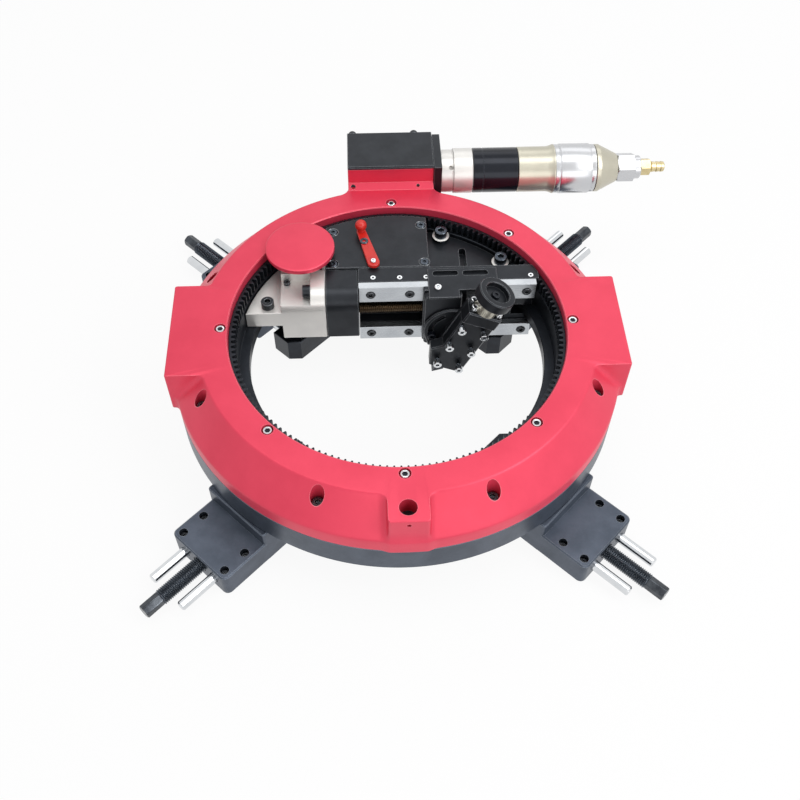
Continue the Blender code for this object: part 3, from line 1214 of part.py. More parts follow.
def make_tool_slide():
    left = TOOL_SIDE - TOOL_HALF_WIDTH
    right = TOOL_SIDE + TOOL_HALF_WIDTH
    middle = TOOL_SIDE
    rear = BASE_PLATE_FRONT - GAP
    slide = tilted_plate("tool_slide", [
        (left, SLIDE_HEAD), (right, SLIDE_HEAD), (right, SLIDE_TAIL - SLIDE_TAIL_BEVEL),
        (right - SLIDE_TAIL_BEVEL, SLIDE_TAIL), (left, SLIDE_TAIL), (SLIDE_EAR_SIDE, SLIDE_EAR_DEPTH),
        (left, SLIDE_EAR_TOP)], TOOL_FRONT, rear)
    drill(slide, DEPTH_SCREW_R + DEPTH_SCREW_FIT, tilted_point(SLIDE_HEAD - OVERRUN),
          tilted_point(DEPTH_BORE_END), SMALL_STEPS)
    fit = TOOL_BIT_HALF + GAP
    slot = [(TOOL_BIT_SIDE - fit, TOOL_BIT_TOP - GAP), (TOOL_BIT_SIDE + fit, TOOL_BIT_TOP - GAP),
            (TOOL_BIT_SIDE + fit, SLIDE_TAIL + OVERRUN), (TOOL_BIT_SIDE - fit, SLIDE_TAIL + OVERRUN)]
    cut(slide, tilted_plate("bit_slot", slot, rear - TOOL_BIT_HALF * 2 - GAP, rear + OVERRUN))
    put_origin(finished(slide), tilted_point(0))
    black_oxide(slide)
    bit = tilted_plate("tool_bit", [
        (TOOL_BIT_SIDE - TOOL_BIT_HALF, TOOL_BIT_TOP), (TOOL_BIT_SIDE + TOOL_BIT_HALF, TOOL_BIT_TOP),
        (TOOL_BIT_SIDE + TOOL_BIT_HALF, TOOL_BIT_TIP - TOOL_BIT_POINT),
        (TOOL_BIT_SIDE - TOOL_BIT_HALF, TOOL_BIT_TIP)], rear - TOOL_BIT_HALF * 2, rear)
    return ground_steel(bit)


def make_depth_screw():
    collar_foot = BAR_TOP - GAP
    collar_top = collar_foot - COLLAR_HEIGHT
    collar = rod("graduated_collar", COLLAR_R, tilted_point(collar_foot), tilted_point(collar_top))
    drill(collar, DEPTH_SCREW_R + DEPTH_SCREW_FIT, tilted_point(collar_foot + OVERRUN),
          tilted_point(collar_top - OVERRUN), SMALL_STEPS)
    smooth(ground_steel(finished(collar)))
    knob_foot = collar_top - GAP
    knob_top = knob_foot - KNOB_HEIGHT
    knob = rod("depth_knob", KNOB_R, tilted_point(knob_foot), tilted_point(knob_top))
    floor = knob_top + KNOB_RECESS
    drill(knob, KNOB_RECESS_R, tilted_point(floor), tilted_point(knob_top - OVERRUN))
    join(knob, rod("knob_hub", KNOB_HUB_R, tilted_point(floor + KNOB_HUB_HEIGHT / 2),
                   tilted_point(floor - KNOB_HUB_HEIGHT), SMALL_STEPS))
    join(knob, rod("depth_screw", DEPTH_SCREW_R, tilted_point(knob_foot - KNOB_HUB_HEIGHT / 2),
                   tilted_point(DEPTH_SCREW_END), SMALL_STEPS))
    put_origin(finished(knob), tilted_point(knob_foot))
    return smooth(black_oxide(knob))


def make_feed_handwheel():
    foot = COVER_TOP + WHEEL_LIFT
    top = foot + WHEEL_HEIGHT
    boss_foot = FEED_TOP + GAP * 2
    wheel = turned("feed_handwheel", [
        (0, top), (WHEEL_R - WHEEL_EDGE, top), (WHEEL_R, top - WHEEL_EDGE), (WHEEL_R, top - WHEEL_RIM),
        (WHEEL_R - WHEEL_RIM, foot), (WHEEL_BOSS_R, foot), (WHEEL_BOSS_FOOT_R, boss_foot),
        (WHEEL_SHAFT_R, boss_foot), (WHEEL_SHAFT_R, COVER_TOP - WHEEL_SHAFT_DROP),
        (0, COVER_TOP - WHEEL_SHAFT_DROP)], ROUND_STEPS, closed=False)
    wheel.location = (WHEEL_X, WHEEL_Y, 0)
    smooth(red_anodised(finished(wheel)))
    phase = atan2(WHEEL_Y, WHEEL_X) + pi / FEED_PINION_TEETH
    outline = pinion_outline(FEED_PINION_TEETH, FEED_MODULE, phase)
    bore = ring_loop(FEED_PINION_BORE_R, ROUND_STEPS)
    pinion = plate("feed_pinion", [outline, bore], FEED_TOP - FEED_PINION_HEIGHT, FEED_TOP)
    pinion.location = (WHEEL_X, WHEEL_Y, 0)
    return ground_steel(pinion)


def make_selector_lever():
    foot = COVER_TOP - GEAR_COVER_DROP + GAP
    top = foot + LEVER_THICKNESS
    half = LEVER_HALF_WIDTH
    outline = arc((LEVER_LENGTH, 0), half, -pi / 2, pi / 2, CORNER_STEPS * 2)
    outline += arc((0, 0), half, pi / 2, pi * 3 / 2, CORNER_STEPS * 2)
    lever = plate("selector_lever", [outline], foot, top)
    ball_height = top + LEVER_BALL_R + GAP * 2
    join(lever, rod("lever_stem", LEVER_STEM_R, (LEVER_LENGTH, 0, top - LEVER_THICKNESS / 2),
                    (LEVER_LENGTH, 0, ball_height), SMALL_STEPS))
    ball = bpy.data.meshes.new("lever_ball")
    work = bmesh.new()
    bmesh.ops.create_uvsphere(work, u_segments=SMALL_STEPS, v_segments=SMALL_STEPS // 2, radius=LEVER_BALL_R,
                              matrix=Matrix.Translation((LEVER_LENGTH, 0, ball_height)))
    work.to_mesh(ball)
    work.free()
    join(lever, new_object("lever_ball", ball))
    finished(lever)
    lever.location = (LEVER_PIVOT_X, LEVER_PIVOT_Y, 0)
    lever.rotation_euler = (0, 0, LEVER_ANGLE)
    return smooth(coat(lever, 0xD12A22, 0.4, 0.1))


make_base_ring()
make_bearing()
make_cover_ring()
make_drive_cap()
make_feed_ring_gear()
make_rotor()
make_pinion_shaft()
make_bevel_pair()
make_motor()
make_legs()
make_arm_plate()
make_gear_cover()
make_feed_bracket()
make_bearing_block()
make_slide_base()
make_rails()
make_lead_screw()
make_carriage()
make_swivel_plate()
make_tool_base()
make_tool_slide()
make_depth_screw()
make_feed_handwheel()
make_selector_lever()

# The ring axis's place in the machine's outline carries everything
ring_axis = bpy.data.objects.new("ring_axis", None)
LATHE.objects.link(ring_axis)
ring_axis.location = (RING_X, RING_Y, 0)
for made in list(LATHE.objects) + list(CUTTERS.objects):
    if made is not ring_axis:
        made.parent = ring_axis
print("nodes", len([made for made in LATHE.objects if made.type == "MESH"]))
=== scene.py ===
# %% [markdown]
# # A portable flange lathe
# The machine is a ring that is clamped on a pipe flange. A red cover ring and a dark base ring hold a
# rotor, and the rotor carries a tool arm that an air motor turns. The solids come from CAD and fix every
# size. This lesson gives each piece its real edges, teeth, threads and finish. Most pieces are turned or
# milled, so each one is a profile carried round an axis or a flat outline carried through a height, and
# both are one kind of surface: rows of points, joined by quads.

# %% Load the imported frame
import json
from math import acos, atan2, cos, pi, radians, sin, sqrt, tan

import bpy
import numpy as np
from mathutils import Matrix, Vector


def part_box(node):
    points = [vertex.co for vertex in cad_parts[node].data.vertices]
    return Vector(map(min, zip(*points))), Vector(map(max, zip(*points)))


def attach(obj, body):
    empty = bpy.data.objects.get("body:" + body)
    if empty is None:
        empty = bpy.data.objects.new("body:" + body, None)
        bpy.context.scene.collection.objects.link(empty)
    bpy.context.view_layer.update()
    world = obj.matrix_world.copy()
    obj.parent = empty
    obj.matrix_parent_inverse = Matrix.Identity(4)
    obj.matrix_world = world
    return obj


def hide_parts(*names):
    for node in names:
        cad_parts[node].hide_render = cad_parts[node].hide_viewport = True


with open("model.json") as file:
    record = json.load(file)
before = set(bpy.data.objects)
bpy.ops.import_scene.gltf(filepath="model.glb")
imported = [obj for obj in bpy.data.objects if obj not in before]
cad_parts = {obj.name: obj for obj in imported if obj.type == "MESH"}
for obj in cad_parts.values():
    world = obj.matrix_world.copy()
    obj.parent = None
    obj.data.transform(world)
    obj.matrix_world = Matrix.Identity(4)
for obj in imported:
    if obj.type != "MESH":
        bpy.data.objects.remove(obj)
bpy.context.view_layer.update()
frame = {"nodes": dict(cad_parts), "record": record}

MM = 0.001
COVER_TOP = 129 * MM
race_low, race_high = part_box("bearing_outer_race")
RING = np.array([(race_low[0] + race_high[0]) / 2, (race_low[1] + race_high[1]) / 2, COVER_TOP])
print("ring axis and cover top, in metres", RING.round(4))

# %% [markdown]
# Lengths below are millimetres from the ring's axis and from the cover's top. One camera with the
# photograph's lens comes first: it looks down on the ring from the front at 53 degrees. Its three axes
# point to the right of the picture, to its top, and back from the machine to the lens.

# %% Camera
EYE = np.array([-29.24, -632.97, 731.46])
RIGHT = (0.99915, -0.04042, 0.00839)
UPWARD = (0.02749, 0.80297, 0.59539)
BACKWARD = (-0.03081, -0.59465, 0.80339)


def put(name, data):
    """A new object in the scene."""
    made = bpy.data.objects.new(name, data)
    bpy.context.scene.collection.objects.link(made)
    return made


def aim(thing, axes, place):
    """Stands an object at a place, with its own x, y and z along three axes."""
    thing.matrix_world = Matrix([[*(axis[k] for axis in axes), place[k]] for k in range(3)] + [[0, 0, 0, 1]])


lens = bpy.data.cameras.new("camera")
lens.sensor_width = 36
lens.lens = 45.12
lens.clip_end = 20
camera = put("camera", lens)
aim(camera, (RIGHT, UPWARD, BACKWARD), RING + EYE * MM)
bpy.context.scene.camera = camera
bpy.context.view_layer.update()
print("camera at", [round(value, 3) for value in camera.location])

# %% [markdown]
# Every shape is a pair: points in millimetres, and faces as lists of point numbers. A loft joins rows of
# points. A turned piece is a loft whose rows are circles, and a milled plate is a loft whose rows are one
# outline at four heights, with the first and last drawn in a little so that each rim has the small chamfer
# that catches the light on real metal. A solid profile starts and ends a hair off its axis, at CORE, so
# that no two points of a row meet there.

# %% Lofts, turned pieces and plates
CORE = 0.01
BARE = 0.01


def loft(rows, ends="capped"):
    """Quads between each row of points and the next. A loop's last row meets its first, others are capped."""
    rows = np.asarray(rows, float)
    count, length = rows.shape[:2]
    grid = np.arange(count * length).reshape(count, length)
    low, high = (grid, np.roll(grid, -1, 0)) if ends == "loop" else (grid[:-1], grid[1:])
    quads = np.stack([low, np.roll(low, -1, 1), np.roll(high, -1, 1), high], -1).reshape(-1, 4).tolist()
    caps = [grid[0][::-1].tolist(), grid[-1].tolist()] if ends == "capped" else []
    return rows.reshape(-1, 3), quads + caps


def ring_angles(steps):
    """Evenly spaced angles once round."""
    return np.arange(steps) * 2 * pi / steps


def polar(radius, angle, *height):
    """Points by radius and angle: x is radius times cosine, y is radius times sine. A height may follow."""
    flat = [radius * np.cos(angle), radius * np.sin(angle)]
    return np.stack(flat + [up * np.ones_like(flat[0]) for up in height], -1)


def turned(profile, steps=96, ends="capped"):
    """A profile of radius and height swept round Z."""
    profile = np.asarray(profile, float)
    return loft(polar(profile[:, :1], ring_angles(steps), profile[:, 1:]), ends)


def inset(outline, width):
    """The outline moved inwards: each corner moves along the sum of its two walls' inward normals."""
    outline = np.asarray(outline, float)
    along = np.roll(outline, -1, 0) - outline
    along /= np.linalg.norm(along, axis=1, keepdims=True)
    normal = np.stack([-along[:, 1], along[:, 0]], 1)
    before = np.roll(normal, 1, 0)
    return outline + width * (normal + before) / (1 + (normal * before).sum(1, keepdims=True))


def level(outline, height):
    """A flat outline as a row of points at one height."""
    return np.column_stack([outline, np.full(len(outline), height)])


def plate(outline, low, high, edge=0.5):
    """An outline that runs anticlockwise, carried from low to high, with a chamfer on both rims."""
    narrow = inset(outline, edge)
    rows = [(narrow, low), (outline, low + edge), (outline, high - edge), (narrow, high)]
    return loft([level(points, height) for points, height in rows])


def rounded(corners, radii, steps=5):
    """An outline with an arc in each corner, from one tangent point to the other."""
    points = []
    for k, corner in enumerate(corners):
        radius = radii[k] if hasattr(radii, "__len__") else radii
        here = np.array(corner, float)
        if not radius:
            points.append(here)
            continue
        back = np.array(corners[k - 1]) - here
        onward = np.array(corners[(k + 1) % len(corners)]) - here
        back, onward = back / np.linalg.norm(back), onward / np.linalg.norm(onward)
        half = acos(np.clip(back @ onward, -1, 1)) / 2
        centre = here + (back + onward) / np.linalg.norm(back + onward) * radius / sin(half)
        first, last = here + back * radius / tan(half) - centre, here + onward * radius / tan(half) - centre
        start = atan2(first[1], first[0])
        turn = (atan2(last[1], last[0]) - start + pi) % (2 * pi) - pi
        points += list(centre + polar(radius, start + turn * np.linspace(0, 1, steps + 1)))
    return np.array(points)


def oblong(low_x, low_y, high_x, high_y, radii=0, steps=5):
    """A rectangle with round corners, anticlockwise from its low corner."""
    return rounded([(low_x, low_y), (high_x, low_y), (high_x, high_y), (low_x, high_y)], radii, steps)


def arc(centre, radius, start, end, steps=24):
    """Points on a round stretch between two angles in degrees."""
    return centre + polar(radius, np.radians(np.linspace(start, end, steps + 1)))


# %% [markdown]
# A shape is drawn where it is easy and then laid in its place. Three axes say where its own x, y and z
# point: FRONT stands a drawing up to face the reader, and SIDE looks along the motor. TILT faces the tool
# slide, which leans by LEAN, and CLIMB looks up along it. A cutter's rims stand clear of the cut and need
# no chamfer, so the edge of such a plate is BARE.

# %% Placing, joining and cutting shapes
LEAN = radians(24)
FLAT = ((1, 0, 0), (0, 1, 0), (0, 0, 1))
FRONT = ((1, 0, 0), (0, 0, 1), (0, -1, 0))
SIDE = ((0, 1, 0), (0, 0, 1), (1, 0, 0))
TILT = ((cos(LEAN), 0, -sin(LEAN)), (sin(LEAN), 0, cos(LEAN)), (0, -1, 0))
CLIMB = ((0, -1, 0), (cos(LEAN), 0, -sin(LEAN)), (sin(LEAN), 0, cos(LEAN)))


def lay(shape, axes=FLAT, at=(0, 0, 0)):
    """Each point becomes its x, y and z along the three axes, added to the place."""
    points, faces = shape
    return points @ np.array(axes, float) + np.array(at, float), faces


def turned_axes(degrees):
    """Three axes turned about Z."""
    turn = radians(degrees)
    return (cos(turn), sin(turn), 0), (-sin(turn), cos(turn), 0), (0, 0, 1)


def facing(direction):
    """Three axes whose third runs along the direction."""
    third = np.array(direction, float) / np.linalg.norm(direction)
    helper = (1, 0, 0) if abs(third[0]) < 0.8 else (0, 1, 0)
    first = np.cross(helper, third)
    first /= np.linalg.norm(first)
    return first, np.cross(third, first), third


def together(shapes):
    """Several shapes as one, with the face numbers moved up."""
    points, faces, start = [], [], 0
    for more, sides in shapes:
        points.append(more)
        faces += [[start + corner for corner in side] for side in sides]
        start += len(more)
    return np.concatenate(points), faces


def raw_mesh(name, shape):
    """A Blender mesh with the shape's points and faces as they are."""
    mesh = bpy.data.meshes.new(name)
    mesh.from_pydata(np.asarray(shape[0]).tolist(), [], shape[1])
    return mesh


def carve(shape, tools):
    """The shape less the tools, by Blender's exact Boolean. It works in millimetres."""
    solid, tool = put("solid", raw_mesh("solid", shape)), put("tool", raw_mesh("tool", together(tools)))
    step = solid.modifiers.new("cut", "BOOLEAN")
    step.operation, step.solver, step.object, step.use_self = "DIFFERENCE", "EXACT", tool, True
    graph = bpy.context.evaluated_depsgraph_get()
    mesh = bpy.data.meshes.new_from_object(solid.evaluated_get(graph))
    points = np.empty(len(mesh.vertices) * 3)
    mesh.vertices.foreach_get("co", points)
    faces = [list(side.vertices) for side in mesh.polygons]
    for thing in (solid, tool):
        bpy.data.objects.remove(thing)
    return points.reshape(-1, 3), faces


def bore(radius, at, direction, depth, rise=3, steps=32):
    """A round cutter that sinks to the depth below a point and stands proud of it."""
    return lay(turned([(radius, -depth), (radius, rise)], steps), facing(direction), at)


# %% [markdown]
# A finished piece gets its mesh in metres, its finish, smooth shading up to its real edges, the body it
# rides on, and the CAD nodes it stands for.

# %% Finished pieces


def piece(name, shape, finish, body, *nodes, sharp=34):
    """One shape, or a list of them, on a body in place of the nodes. Edges over sharp degrees are hard."""
    points, faces = together(shape) if isinstance(shape, list) else shape
    mesh = raw_mesh(name, (RING + points * MM, faces))
    mesh.materials.append(finish)
    mesh.shade_smooth()
    mesh.set_sharp_from_angle(angle=radians(sharp))
    made = put(name, mesh)
    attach(made, body)
    if nodes:
        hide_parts(*nodes)
    print(f"{name}: {len(mesh.polygons)} faces on {body}")


# %% [markdown]
# A finish is built from the same few nodes each time: clouds of two near colours, because no oxide or
# anodising is even; a second cloud for the roughness; a fine grain for the bump; and a Bevel node, whose
# normal leans away from the real one only beside an edge. There the colour turns paler: partly the bright
# metal that tools and hands rub bare, and partly a painted highlight where the edge catches the light.

# %% Helpers for colours, nodes and metal


def linear(code):
    """A hex colour such as #7F7F7F as linear red, green and blue, with an alpha of 1."""
    parts = [int(code[k:k + 2], 16) / 255 for k in (1, 3, 5)]
    return [*(part / 12.92 if part <= 0.04045 else ((part + 0.055) / 1.055) ** 2.4 for part in parts), 1]


def add(tree, kind, inputs, **settings):
    """Adds a shader node, sets its options, and sets or links each input that is named or numbered."""
    node = tree.nodes.new("ShaderNode" + kind)
    for option, value in settings.items():
        setattr(node, option, value)
    for key, value in inputs.items():
        if isinstance(value, bpy.types.NodeSocket):
            tree.links.new(value, node.inputs[key])
        else:
            node.inputs[key].default_value = value
    return node


def metal(name, slot, colour, cloud_colour, worn_and_lit_edge_colour, roughness, metallic=1.0, cloud=8.0, grain=0.8,
          depth=0.006, rim=0.4, edge_wear_and_highlight=0.5, stretch=(1, 1, 1)):
    """A metal finish: cloud, grain, depth and rim in millimetres, roughness as lowest and highest value."""
    finish = bpy.data.materials.new(name)
    finish.use_nodes = True
    finish["slot"] = slot
    tree = finish.node_tree
    shader = tree.nodes["Principled BSDF"]
    place = add(tree, "TexCoord", {}).outputs["Object"]
    drawn = add(tree, "Mapping", {"Vector": place, "Scale": stretch}).outputs["Vector"]
    clouds = add(tree, "TexNoise", {"Vector": place, "Scale": 1000 / cloud, "Detail": 5.0, "Roughness": 0.62})
    dust = add(tree, "TexNoise", {"Vector": drawn, "Scale": 1000 / grain, "Detail": 3.0, "Roughness": 0.55})
    share = add(tree, "MapRange", {"Value": clouds.outputs["Fac"], "From Min": 0.36, "From Max": 0.64})
    body = add(tree, "Mix", {"Factor": share.outputs["Result"], 6: linear(colour), 7: linear(cloud_colour)},
               data_type="RGBA")
    round_normal = add(tree, "Bevel", {"Radius": rim * MM}, samples=4).outputs["Normal"]
    flat_normal = add(tree, "NewGeometry", {}).outputs["Normal"]
    meeting = add(tree, "VectorMath", {0: round_normal, 1: flat_normal},
                  operation="DOT_PRODUCT").outputs["Value"]
    # The paler colour beside an edge is partly rubbed wear and partly a painted edge highlight.
    edge = add(tree, "MapRange", {"Value": meeting, "From Min": 0.995, "From Max": 0.90, "To Max": edge_wear_and_highlight})
    rubbed_and_lit_edge = add(tree, "Math", {0: edge.outputs["Result"], 1: dust.outputs["Fac"]}, operation="MULTIPLY")
    skin = add(tree, "Mix", {"Factor": rubbed_and_lit_edge.outputs["Value"], 6: body.outputs[2], 7: linear(worn_and_lit_edge_colour)},
               data_type="RGBA")
    sheen = add(tree, "MapRange", {"Value": dust.outputs["Fac"], "From Min": 0.3, "From Max": 0.7,
                                   "To Min": roughness[0], "To Max": roughness[1]})
    bump = add(tree, "Bump", {"Height": dust.outputs["Fac"], "Strength": 0.35, "Distance": depth * MM})
    shader.inputs["Metallic"].default_value = metallic
    for socket, value in (("Base Color", skin.outputs[2]), ("Roughness", sheen.outputs["Result"]),
                          ("Normal", bump.outputs["Normal"])):
        tree.links.new(value, shader.inputs[socket])
    print("finish", name)
    return finish


# %% [markdown]
# Fifteen finishes cover nearly all of the machine. Anodising is a dyed glassy layer on aluminium, so it is
# a metal with a strong colour and a satin surface. Black oxide is a thin crust on steel that stays dark and
# a little oily. Ground steel, hard chrome and brass show their own metal. Lengths of grain are those of the
# real abrasive, drawn slightly coarse so that they show.

# %% Finishes
# Anodised aluminium, dyed red over a fine blast: soft gloss, hardly any grain, paler edges.
red_anodised = metal("red_anodised_aluminium", "red_anodised", "#E03F59", "#D83852", "#FFB4BE", (0.37, 0.45),
                     metallic=0.3, cloud=60, grain=0.5, rim=0.9, edge_wear_and_highlight=0.9)
# Phosphated steel: a grey crust of fine crystals that scatters light, with bluish patches.
phosphated = metal("phosphated_steel", "dark_steel", "#484F5A", "#555C68", "#B4BAC0", (0.32, 0.44),
                   metallic=0.8, cloud=26, grain=0.7, depth=0.02, rim=0.6, edge_wear_and_highlight=0.8)
# Black oxide and black anodising: near black and satin, bright only along an edge, partly rubbed metal and
# partly a painted highlight.
blackened = metal("black_oxide_steel", "black_oxide", "#1F2227", "#292C31", "#B4B8BD", (0.30, 0.42),
                  metallic=0.6, cloud=22, grain=0.6, depth=0.012, rim=0.8, edge_wear_and_highlight=0.95)
# Blued steel that runs in oil, on rotor and gear: darker than the base ring and a little glossier.
oiled = metal("oiled_blued_steel", "dark_steel", "#23262C", "#2D3138", "#7D848C", (0.28, 0.40),
              metallic=0.7, cloud=24, grain=0.7, depth=0.012, edge_wear_and_highlight=0.3)
# Blue-black anodising on the motor's gearcase: deep colour and a clear gloss.
gloss_black = metal("gloss_black_anodised", "black_oxide", "#12151D", "#171B24", "#6F757E", (0.16, 0.24),
                    metallic=0.5, cloud=30, depth=0.004, rim=0.5, edge_wear_and_highlight=0.6, stretch=(1, 0.08, 0.08))
# Blued screw steel: the nut polishes a thread's crests, so it shines more than plain black oxide.
blued = metal("blued_screw_steel", "black_oxide", "#3D434B", "#4B525B", "#B4B9BE", (0.20, 0.30),
              metallic=0.9, cloud=16, grain=0.7, rim=0.3, edge_wear_and_highlight=0.9)
# Hexagon ends that the spanner has rubbed: half bare steel, half left dark.
spanner_worn = metal("spanner_worn_steel", "black_oxide", "#3C3F44", "#54585D", "#C5C7C9", (0.18, 0.30),
                     depth=0.01, rim=0.5, edge_wear_and_highlight=0.9, stretch=(1, 1, 0.2))
# Satin nickel on the graduated collar: grey with a warm cast and even gloss.
nickel = metal("satin_nickel", "ground_steel", "#C6C2B5", "#B9B5A8", "#E4E1D8", (0.28, 0.36), metallic=0.9,
               cloud=10, rim=0.3)
# Bare aluminium blasted with glass beads: bright and even, with a dull sparkle.
blasted = metal("bead_blasted_aluminium", "bare_aluminium", "#E0DEDA", "#D8D6D3", "#EFEEEC", (0.34, 0.40),
                metallic=0.55, cloud=30, grain=0.7, depth=0.02, rim=0.6)
# Surface-ground steel: the wheel leaves fine lines, so the grain is drawn out along X.
ground = metal("ground_steel", "ground_steel", "#C2C6CA", "#B4B8BD", "#E2E4E6", (0.24, 0.36), metallic=0.95,
               cloud=24, grain=1.2, edge_wear_and_highlight=0.6, stretch=(0.05, 1, 1))
# Turned bright steel: the tool leaves rings round X, so the grain is drawn out across it.
turned_steel = metal("turned_bright_steel", "ground_steel", "#CACBCD", "#C7C8CB", "#E2E4E6", (0.24, 0.28),
                     cloud=18, grain=1.4, depth=0.002, stretch=(1, 0.05, 0.05))
# Champagne anodising on turned aluminium: warm and pale with a soft gloss.
champagne = metal("champagne_anodised_aluminium", "champagne_anodised", "#C4C0B0", "#BEBAAA", "#E4DFD2",
                  (0.28, 0.33), metallic=0.75, cloud=20, grain=1.0, depth=0.002, rim=0.5, edge_wear_and_highlight=0.6,
                  stretch=(1, 0.08, 0.08))
# Turned brass: yellow and glossy, a little duller where hands touch it.
brass = metal("turned_brass", "brass", "#DACBA2", "#CBB98C", "#F4EACD", (0.18, 0.28))
# Hard chrome on guide rods and bright screws: nearly a mirror, faintly clouded by handling.
chromed = metal("hard_chrome", "chrome", "#DCDEE0", "#CFD2D5", "#F6F6F7", (0.08, 0.14), cloud=16, grain=1.0,
                depth=0.002, edge_wear_and_highlight=0.3)
# Signal red enamel: a smooth coat that isn't a metal, worn through to steel on its corners.
enamel = metal("signal_red_enamel", "signal_red", "#D2281F", "#C4221B", "#8F8A88", (0.28, 0.36),
               metallic=0.0, cloud=12, grain=1.5, depth=0.01, rim=0.35, edge_wear_and_highlight=0.8)

# %% [markdown]
# The red cover is one milled casting: a flat top, a cone down to a short wall, a lug at each side, a nose
# in front and the foot of the drive box behind. A lathe profile can't give the lugs and a Boolean can't
# give the soft hollows where they meet the cone. So the outside is the zero line of a distance field: the
# least of four distances, blended where they meet. At each height and angle the radius is found by halving,
# and the rows of radii are lofted. More angles are spent where lugs, nose and box leave the cone.

# %% Distance to the cover's outline
LUG_BLEND, NOSE_BLEND, DRIVE_BLEND = 5.0, 9.0, 10.0
CONE_TOP_R, WALL_R, CONE_DROP, EASE = 191, 219, 33, 2


def cone_radius(height):
    """CONE_TOP_R at the top and WALL_R from CONE_DROP down, in a straight line that a parabola eases in."""
    drop = np.clip(-height, 0, None)
    straight = np.minimum(CONE_TOP_R + drop * (WALL_R - CONE_TOP_R) / CONE_DROP, WALL_R)
    ease = np.clip(EASE - np.abs(drop - CONE_DROP), 0, EASE)
    return straight - ease ** 2 * (WALL_R - CONE_TOP_R) / CONE_DROP / (4 * EASE)


def box_distance(x, y, half_x, half_y, corner):
    """Distance to a rectangle about the origin whose corners have a radius: negative inside it."""
    across, along = np.abs(x) - half_x + corner, np.abs(y) - half_y + corner
    outside = np.hypot(np.maximum(across, 0), np.maximum(along, 0))
    return outside + np.minimum(np.maximum(across, along), 0) - corner


def blended(first, second, reach):
    """The lesser of two distances, with a round hollow as wide as the reach where they are nearly equal."""
    near = np.clip(reach - np.abs(first - second), 0, None) / reach
    return np.minimum(first, second) - near ** 2 * reach / 4


def cover_distance(x, y, height):
    """Distance from the cover's outline at a height: ring, side lugs, nose and the drive box's foot."""
    ring = np.hypot(x, y) - cone_radius(height)
    lugs = box_distance(x, y + 0.5, 218, 56.5, 1.6)
    nose = box_distance(x - 1.8, y + 109, 18, 109, 2.5)
    drive = box_distance(x - 0.6, y - 125, 45.6, 124.7, 2)
    return blended(blended(blended(ring, lugs, LUG_BLEND), nose, NOSE_BLEND), drive, DRIVE_BLEND)


# %% The cover's outside by halving
corner_angles = np.radians([15.3, 164.7, 195, 345, 264.8, 275.2, 78, 102])
close_angles = [corner + np.linspace(-0.085, 0.085, 101) for corner in corner_angles]
angles = np.concatenate([np.linspace(0, 2 * pi, 721)[:-1]] + close_angles)
angles = np.unique(np.round(angles % (2 * pi), 5))
RIM = 1.3
lean = np.radians(np.linspace(90, 0, 6))
rim_heights = -RIM * (1 - np.sin(lean))
side_heights = [-3, -6, -10, -15, -20, -25, -29, -31.4, -32.4, -33, -33.6, -34.6, -40, -48.5]
heights = np.concatenate([rim_heights, side_heights])[:, None]
near_r, far_r = (np.full((len(heights), len(angles)), radius) for radius in (150.0, 300.0))
for _ in range(32):
    middle = (near_r + far_r) / 2
    inside = cover_distance(middle * np.cos(angles), middle * np.sin(angles), heights) < 0
    near_r, far_r = np.where(inside, middle, near_r), np.where(inside, far_r, middle)
rim_inset = np.concatenate([RIM * (1 - np.cos(lean)), np.zeros_like(side_heights)])[:, None]
outside_r = near_r - rim_inset
print("cover reaches", outside_r.max().round(1), "mm from the axis")

# %% [markdown]
# The rows then go on under the foot and up the hollow inside to close the section. Screw seats are cut
# afterwards: eight in the flat top, eight more straight down through the cone, so that they open as long
# ovals, two blind holes in the nose and two small ones in the sloping strip.

# %% Cover casting
BOX_WIDTH = (-45.3, 46.5)
hollow = [(209.5, -49), (209.5, -35), (190, -22.5), (176.3, -20.6), (176.3, -11), (163, -11), (163, -0.9),
          (163.9, 0)]
section = [*zip(outside_r, heights[:, 0]), (outside_r[-1] - 0.5, -49), *hollow]
casting = loft([polar(radius, angles, height) for radius, height in section[::-1]], "loop")
box_side = [(212, -48.9), (250, -48.9), (250, 23.2), (195.4, 23.2), (195.4, 5.9), (189.5, 0), (189.5, -8),
            (212, -16)]
drive_box = lay(plate(box_side, *BOX_WIDTH, 0.7), SIDE)
UP, AHEAD = (0, 0, 1), (0, -1, 0)
top_angles, cone_angles = ring_angles(8), ring_angles(8) + radians(22.5)
seats = [bore(5.6, place, UP, 6.4) for place in polar(170, top_angles, 0)]
seats += [bore(6.5, place, UP, 26.5) for place in polar(199, cone_angles, 0)]
seats += [bore(8, (1.3, -204, 0), UP, 20), bore(2, (1.6, -218, -7), AHEAD, 5.5)]
strip_holes = [bore(radius, (x, 192.4, 2.9), (0, -1, 1), 5) for x, radius in ((-39.9, 2.6), (29.7, 1.9))]
cover = [carve(casting, seats), carve(drive_box, strip_holes)]
piece("cover_casting", cover, red_anodised, "frame", "cover_ring", sharp=30)

# %% [markdown]
# Under the cover is the base ring, a plain turned ring with a box behind for the lower bearing. Inside, the
# feed ring gear has 158 teeth of module 2, so a tooth every 6.28 mm. A tooth's outline is a radius that
# steps between root and tip. One gap faces the handwheel's shaft at WHEEL_X and WHEEL_Y, where the feed
# pinion runs.

# %% Base ring, feed ring gear and rotor


def toothed_row(teeth, root, tip, root_share, tip_share, phase):
    """Points once round, eight to a tooth: root, rising flank, tip, falling flank, as shares of the pitch."""
    flank = (1 - root_share - tip_share) / 2
    stops = np.cumsum([0, root_share, flank, flank, tip_share, tip_share, flank, flank]) / 2
    levels = np.array([0, 0, 0.55, 1, 1, 1, 0.55, 0])
    turn = phase + 2 * pi / teeth * (np.arange(teeth)[:, None] + stops).ravel()
    return polar(np.tile(root + (tip - root) * levels, teeth), turn)


